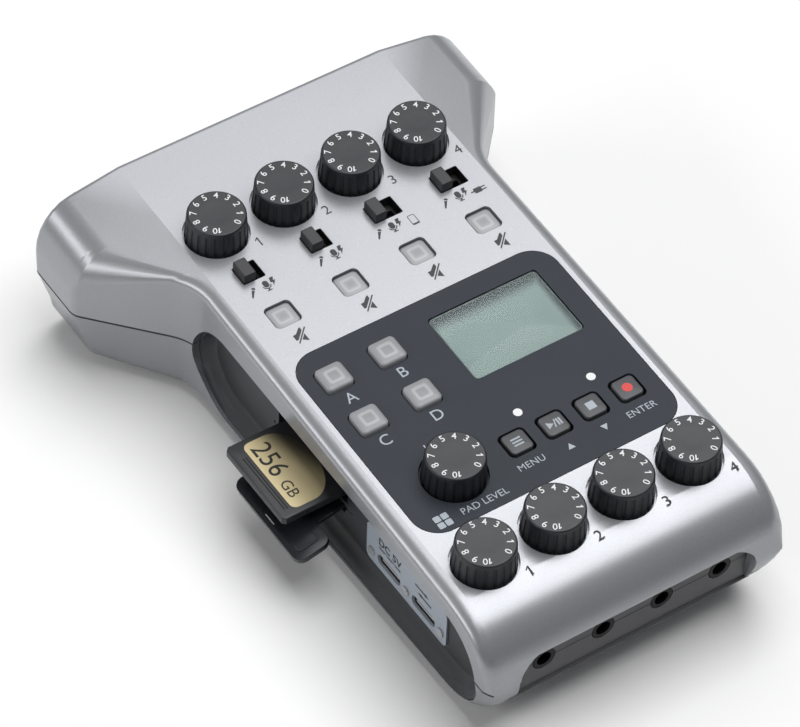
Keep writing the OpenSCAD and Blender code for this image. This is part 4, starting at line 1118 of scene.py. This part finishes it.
def card_flap():
    """Modelled level with its hinge on the Y axis, and then let down by its droop."""
    droop, pin_r, pin_l, strap_l, strap_w, strap_y = 14, 0.8, 31.2, 9.2, 8, -8.8
    leaf_x, leaf_y, leaf_w, leaf_l, leaf_t = -12.5, -5.4, 9.0, 26.8, 1.6
    leaf = print_of("flap_leaf", [rounded_line(leaf_w, leaf_l, 2.3, leaf_x, leaf_y)], leaf_t)
    soften(leaf, 0.55, 3)
    slit = block("flap_slit", 0.5, 4.6, -2, 2, 0.24, 4)
    slit.location = (leaf_x - leaf_w / 2 + 1.5, leaf_y + 0.6, 0)
    cut(leaf, slit)
    bead = print_of("flap_bead", [rounded_line(leaf_w - 3, leaf_l - 4, 1.2, leaf_x, leaf_y),
                                  rounded_line(leaf_w - 4.4, leaf_l - 5.4, 0.6, leaf_x, leaf_y)], 0.2)
    bead.location.z = leaf_t / 2 + 0.05
    strap = crown(block("flap_strap", strap_l, strap_w, -0.5, 0.5), 0.5, 0.2)
    strap.location = (-strap_l / 2, strap_y, 0)
    bare()
    bpy.ops.mesh.primitive_cylinder_add(vertices=32, radius=pin_r, depth=pin_l,
                                        rotation=(math.pi / 2, 0, 0))
    pin = made("flap_pin")
    for piece in (bead, strap, pin):
        settle(piece)
    soften(pin, 0.2)
    flap = smooth(join([leaf, bead, strap, pin], "card_flap"), 35)
    place = Matrix.Translation(JOINT_AT["card_cover"]) @ Matrix.Rotation(math.radians(-droop), 4, "Y")
    dress(place_at(flap, place), "card_cover", FLAP, "rubber", "card_cover")


card_flap()


# Connector plate signs

def plate_sign(piece, y, z):
    """A print on the connector plate, upright as seen from the left."""
    from_left = Matrix.Rotation(math.radians(-90), 4, "Z") @ UPRIGHT
    return place_at(piece, at(PLATE_LOW.x - INK_LIFT, y, z) @ from_left)


def plate_prints():
    """Supply words and a direct-current sign by one socket, two arrows by the other."""
    middle, socket_dy = (PLATE_LOW.y + PLATE_HIGH.y) / 2, 6.5
    power_y, data_y = middle + socket_dy, middle - socket_dy
    dashes = [bar(x - 1.1, -0.24, x + 1.1, -0.24, 0.22) for x in (-3.1, 0, 3.1)]
    current = [bar(-4.2, 0.22, 4.2, 0.22, 0.22), *dashes]
    arrow = [(-3.11, 0.67), (0.58, 0.67), (0.58, 0.39), (2.11, 0.91), (0.58, 1.43), (0.58, 1.15),
             (-3.11, 1.15)]
    arrows = [arrow, [(-x, -y) for x, y in arrow]]
    signs = [plate_sign(word_of("power_word", "DC 5V", 3.1, bold=0.08), power_y, 19.55),
             plate_sign(print_of("power_sign", current), power_y, 17.6),
             plate_sign(print_of("data_sign", arrows), data_y, 18.8)]
    dress(join(signs, "plate_print"), "case", DARK_INK, "steel_plate")


plate_prints()


# Stage: pale floor, soft studio light and the camera of the photograph

def floor():
    """A sheet that looks white, directly, in gloss and through glass, but throws little light back."""
    bare()
    bpy.ops.mesh.primitive_plane_add(size=8, location=(0, 0, -0.2 * MM))
    sheet = made("floor")
    material, tree, shader = new_material("floor_paper", Roughness=0.9)
    path = node(tree, "ShaderNodeLightPath").outputs
    seen = maths(tree, "MAXIMUM", path["Is Camera Ray"], path["Is Glossy Ray"])
    seen = maths(tree, "MAXIMUM", seen, path["Is Transmission Ray"])
    tree.links.new(mix(tree, seen, (0.14, 0.14, 0.145), (0.93, 0.93, 0.93)), shader.inputs["Base Color"])
    sheet.data.materials.append(material)


def sky(strength):
    """Even white light from all round."""
    world = bpy.data.worlds.new("studio")
    bpy.context.scene.world = world
    world.use_nodes = True
    background = world.node_tree.nodes["Background"]
    background.inputs["Color"].default_value = (1.0, 1.0, 1.0, 1)
    background.inputs["Strength"].default_value = strength


def lamp(name, place, aim, size, energy):
    """A soft light from a rectangle, turned to its aim."""
    light = bpy.data.lights.new(name, "AREA")
    light.shape = "RECTANGLE"
    light.size, light.size_y = size
    light.energy = energy
    holder = bpy.data.objects.new(name, light)
    bpy.context.scene.collection.objects.link(holder)
    holder.location = place
    holder.rotation_euler = (Vector(aim) - Vector(place)).to_track_quat("-Z", "Y").to_euler()


def camera():
    """The photograph's view, as it was fitted to the card's width and the parallel edges of the face."""
    sensor_mm, photo_px, focal_px = 36, 800, 4657.72
    right = Vector((0.834934, -0.549886, 0.022582))
    up = Vector((0.400331, 0.634986, 0.660703))
    place = (-0.39495, -0.55370, 0.79836)
    data = bpy.data.cameras.new("photo_view")
    data.sensor_width = sensor_mm
    data.lens = focal_px / photo_px * sensor_mm
    data.clip_start, data.clip_end = 0.05, 20
    eye = bpy.data.objects.new("photo_view", data)
    bpy.context.scene.collection.objects.link(eye)
    turn = Matrix((right, up, right.cross(up))).transposed().to_4x4()
    eye.matrix_world = Matrix.Translation(place) @ turn
    bpy.context.scene.camera = eye


floor()
sky(0.1)
lamp("key", (0.26, -0.01, 1.13), (0, 0, 0), (1.1, 1.0), 13.5)
lamp("face_card", (0.52, 0.74, 1.08), (0, 0, 0), (0.8, 0.6), 2.4)
lamp("left_strip", (-1.0, 0.22, 0.52), (0, 0, 0.02), (1.3, 0.3), 4.8)
camera()
bpy.context.scene.view_settings.view_transform = "Standard"
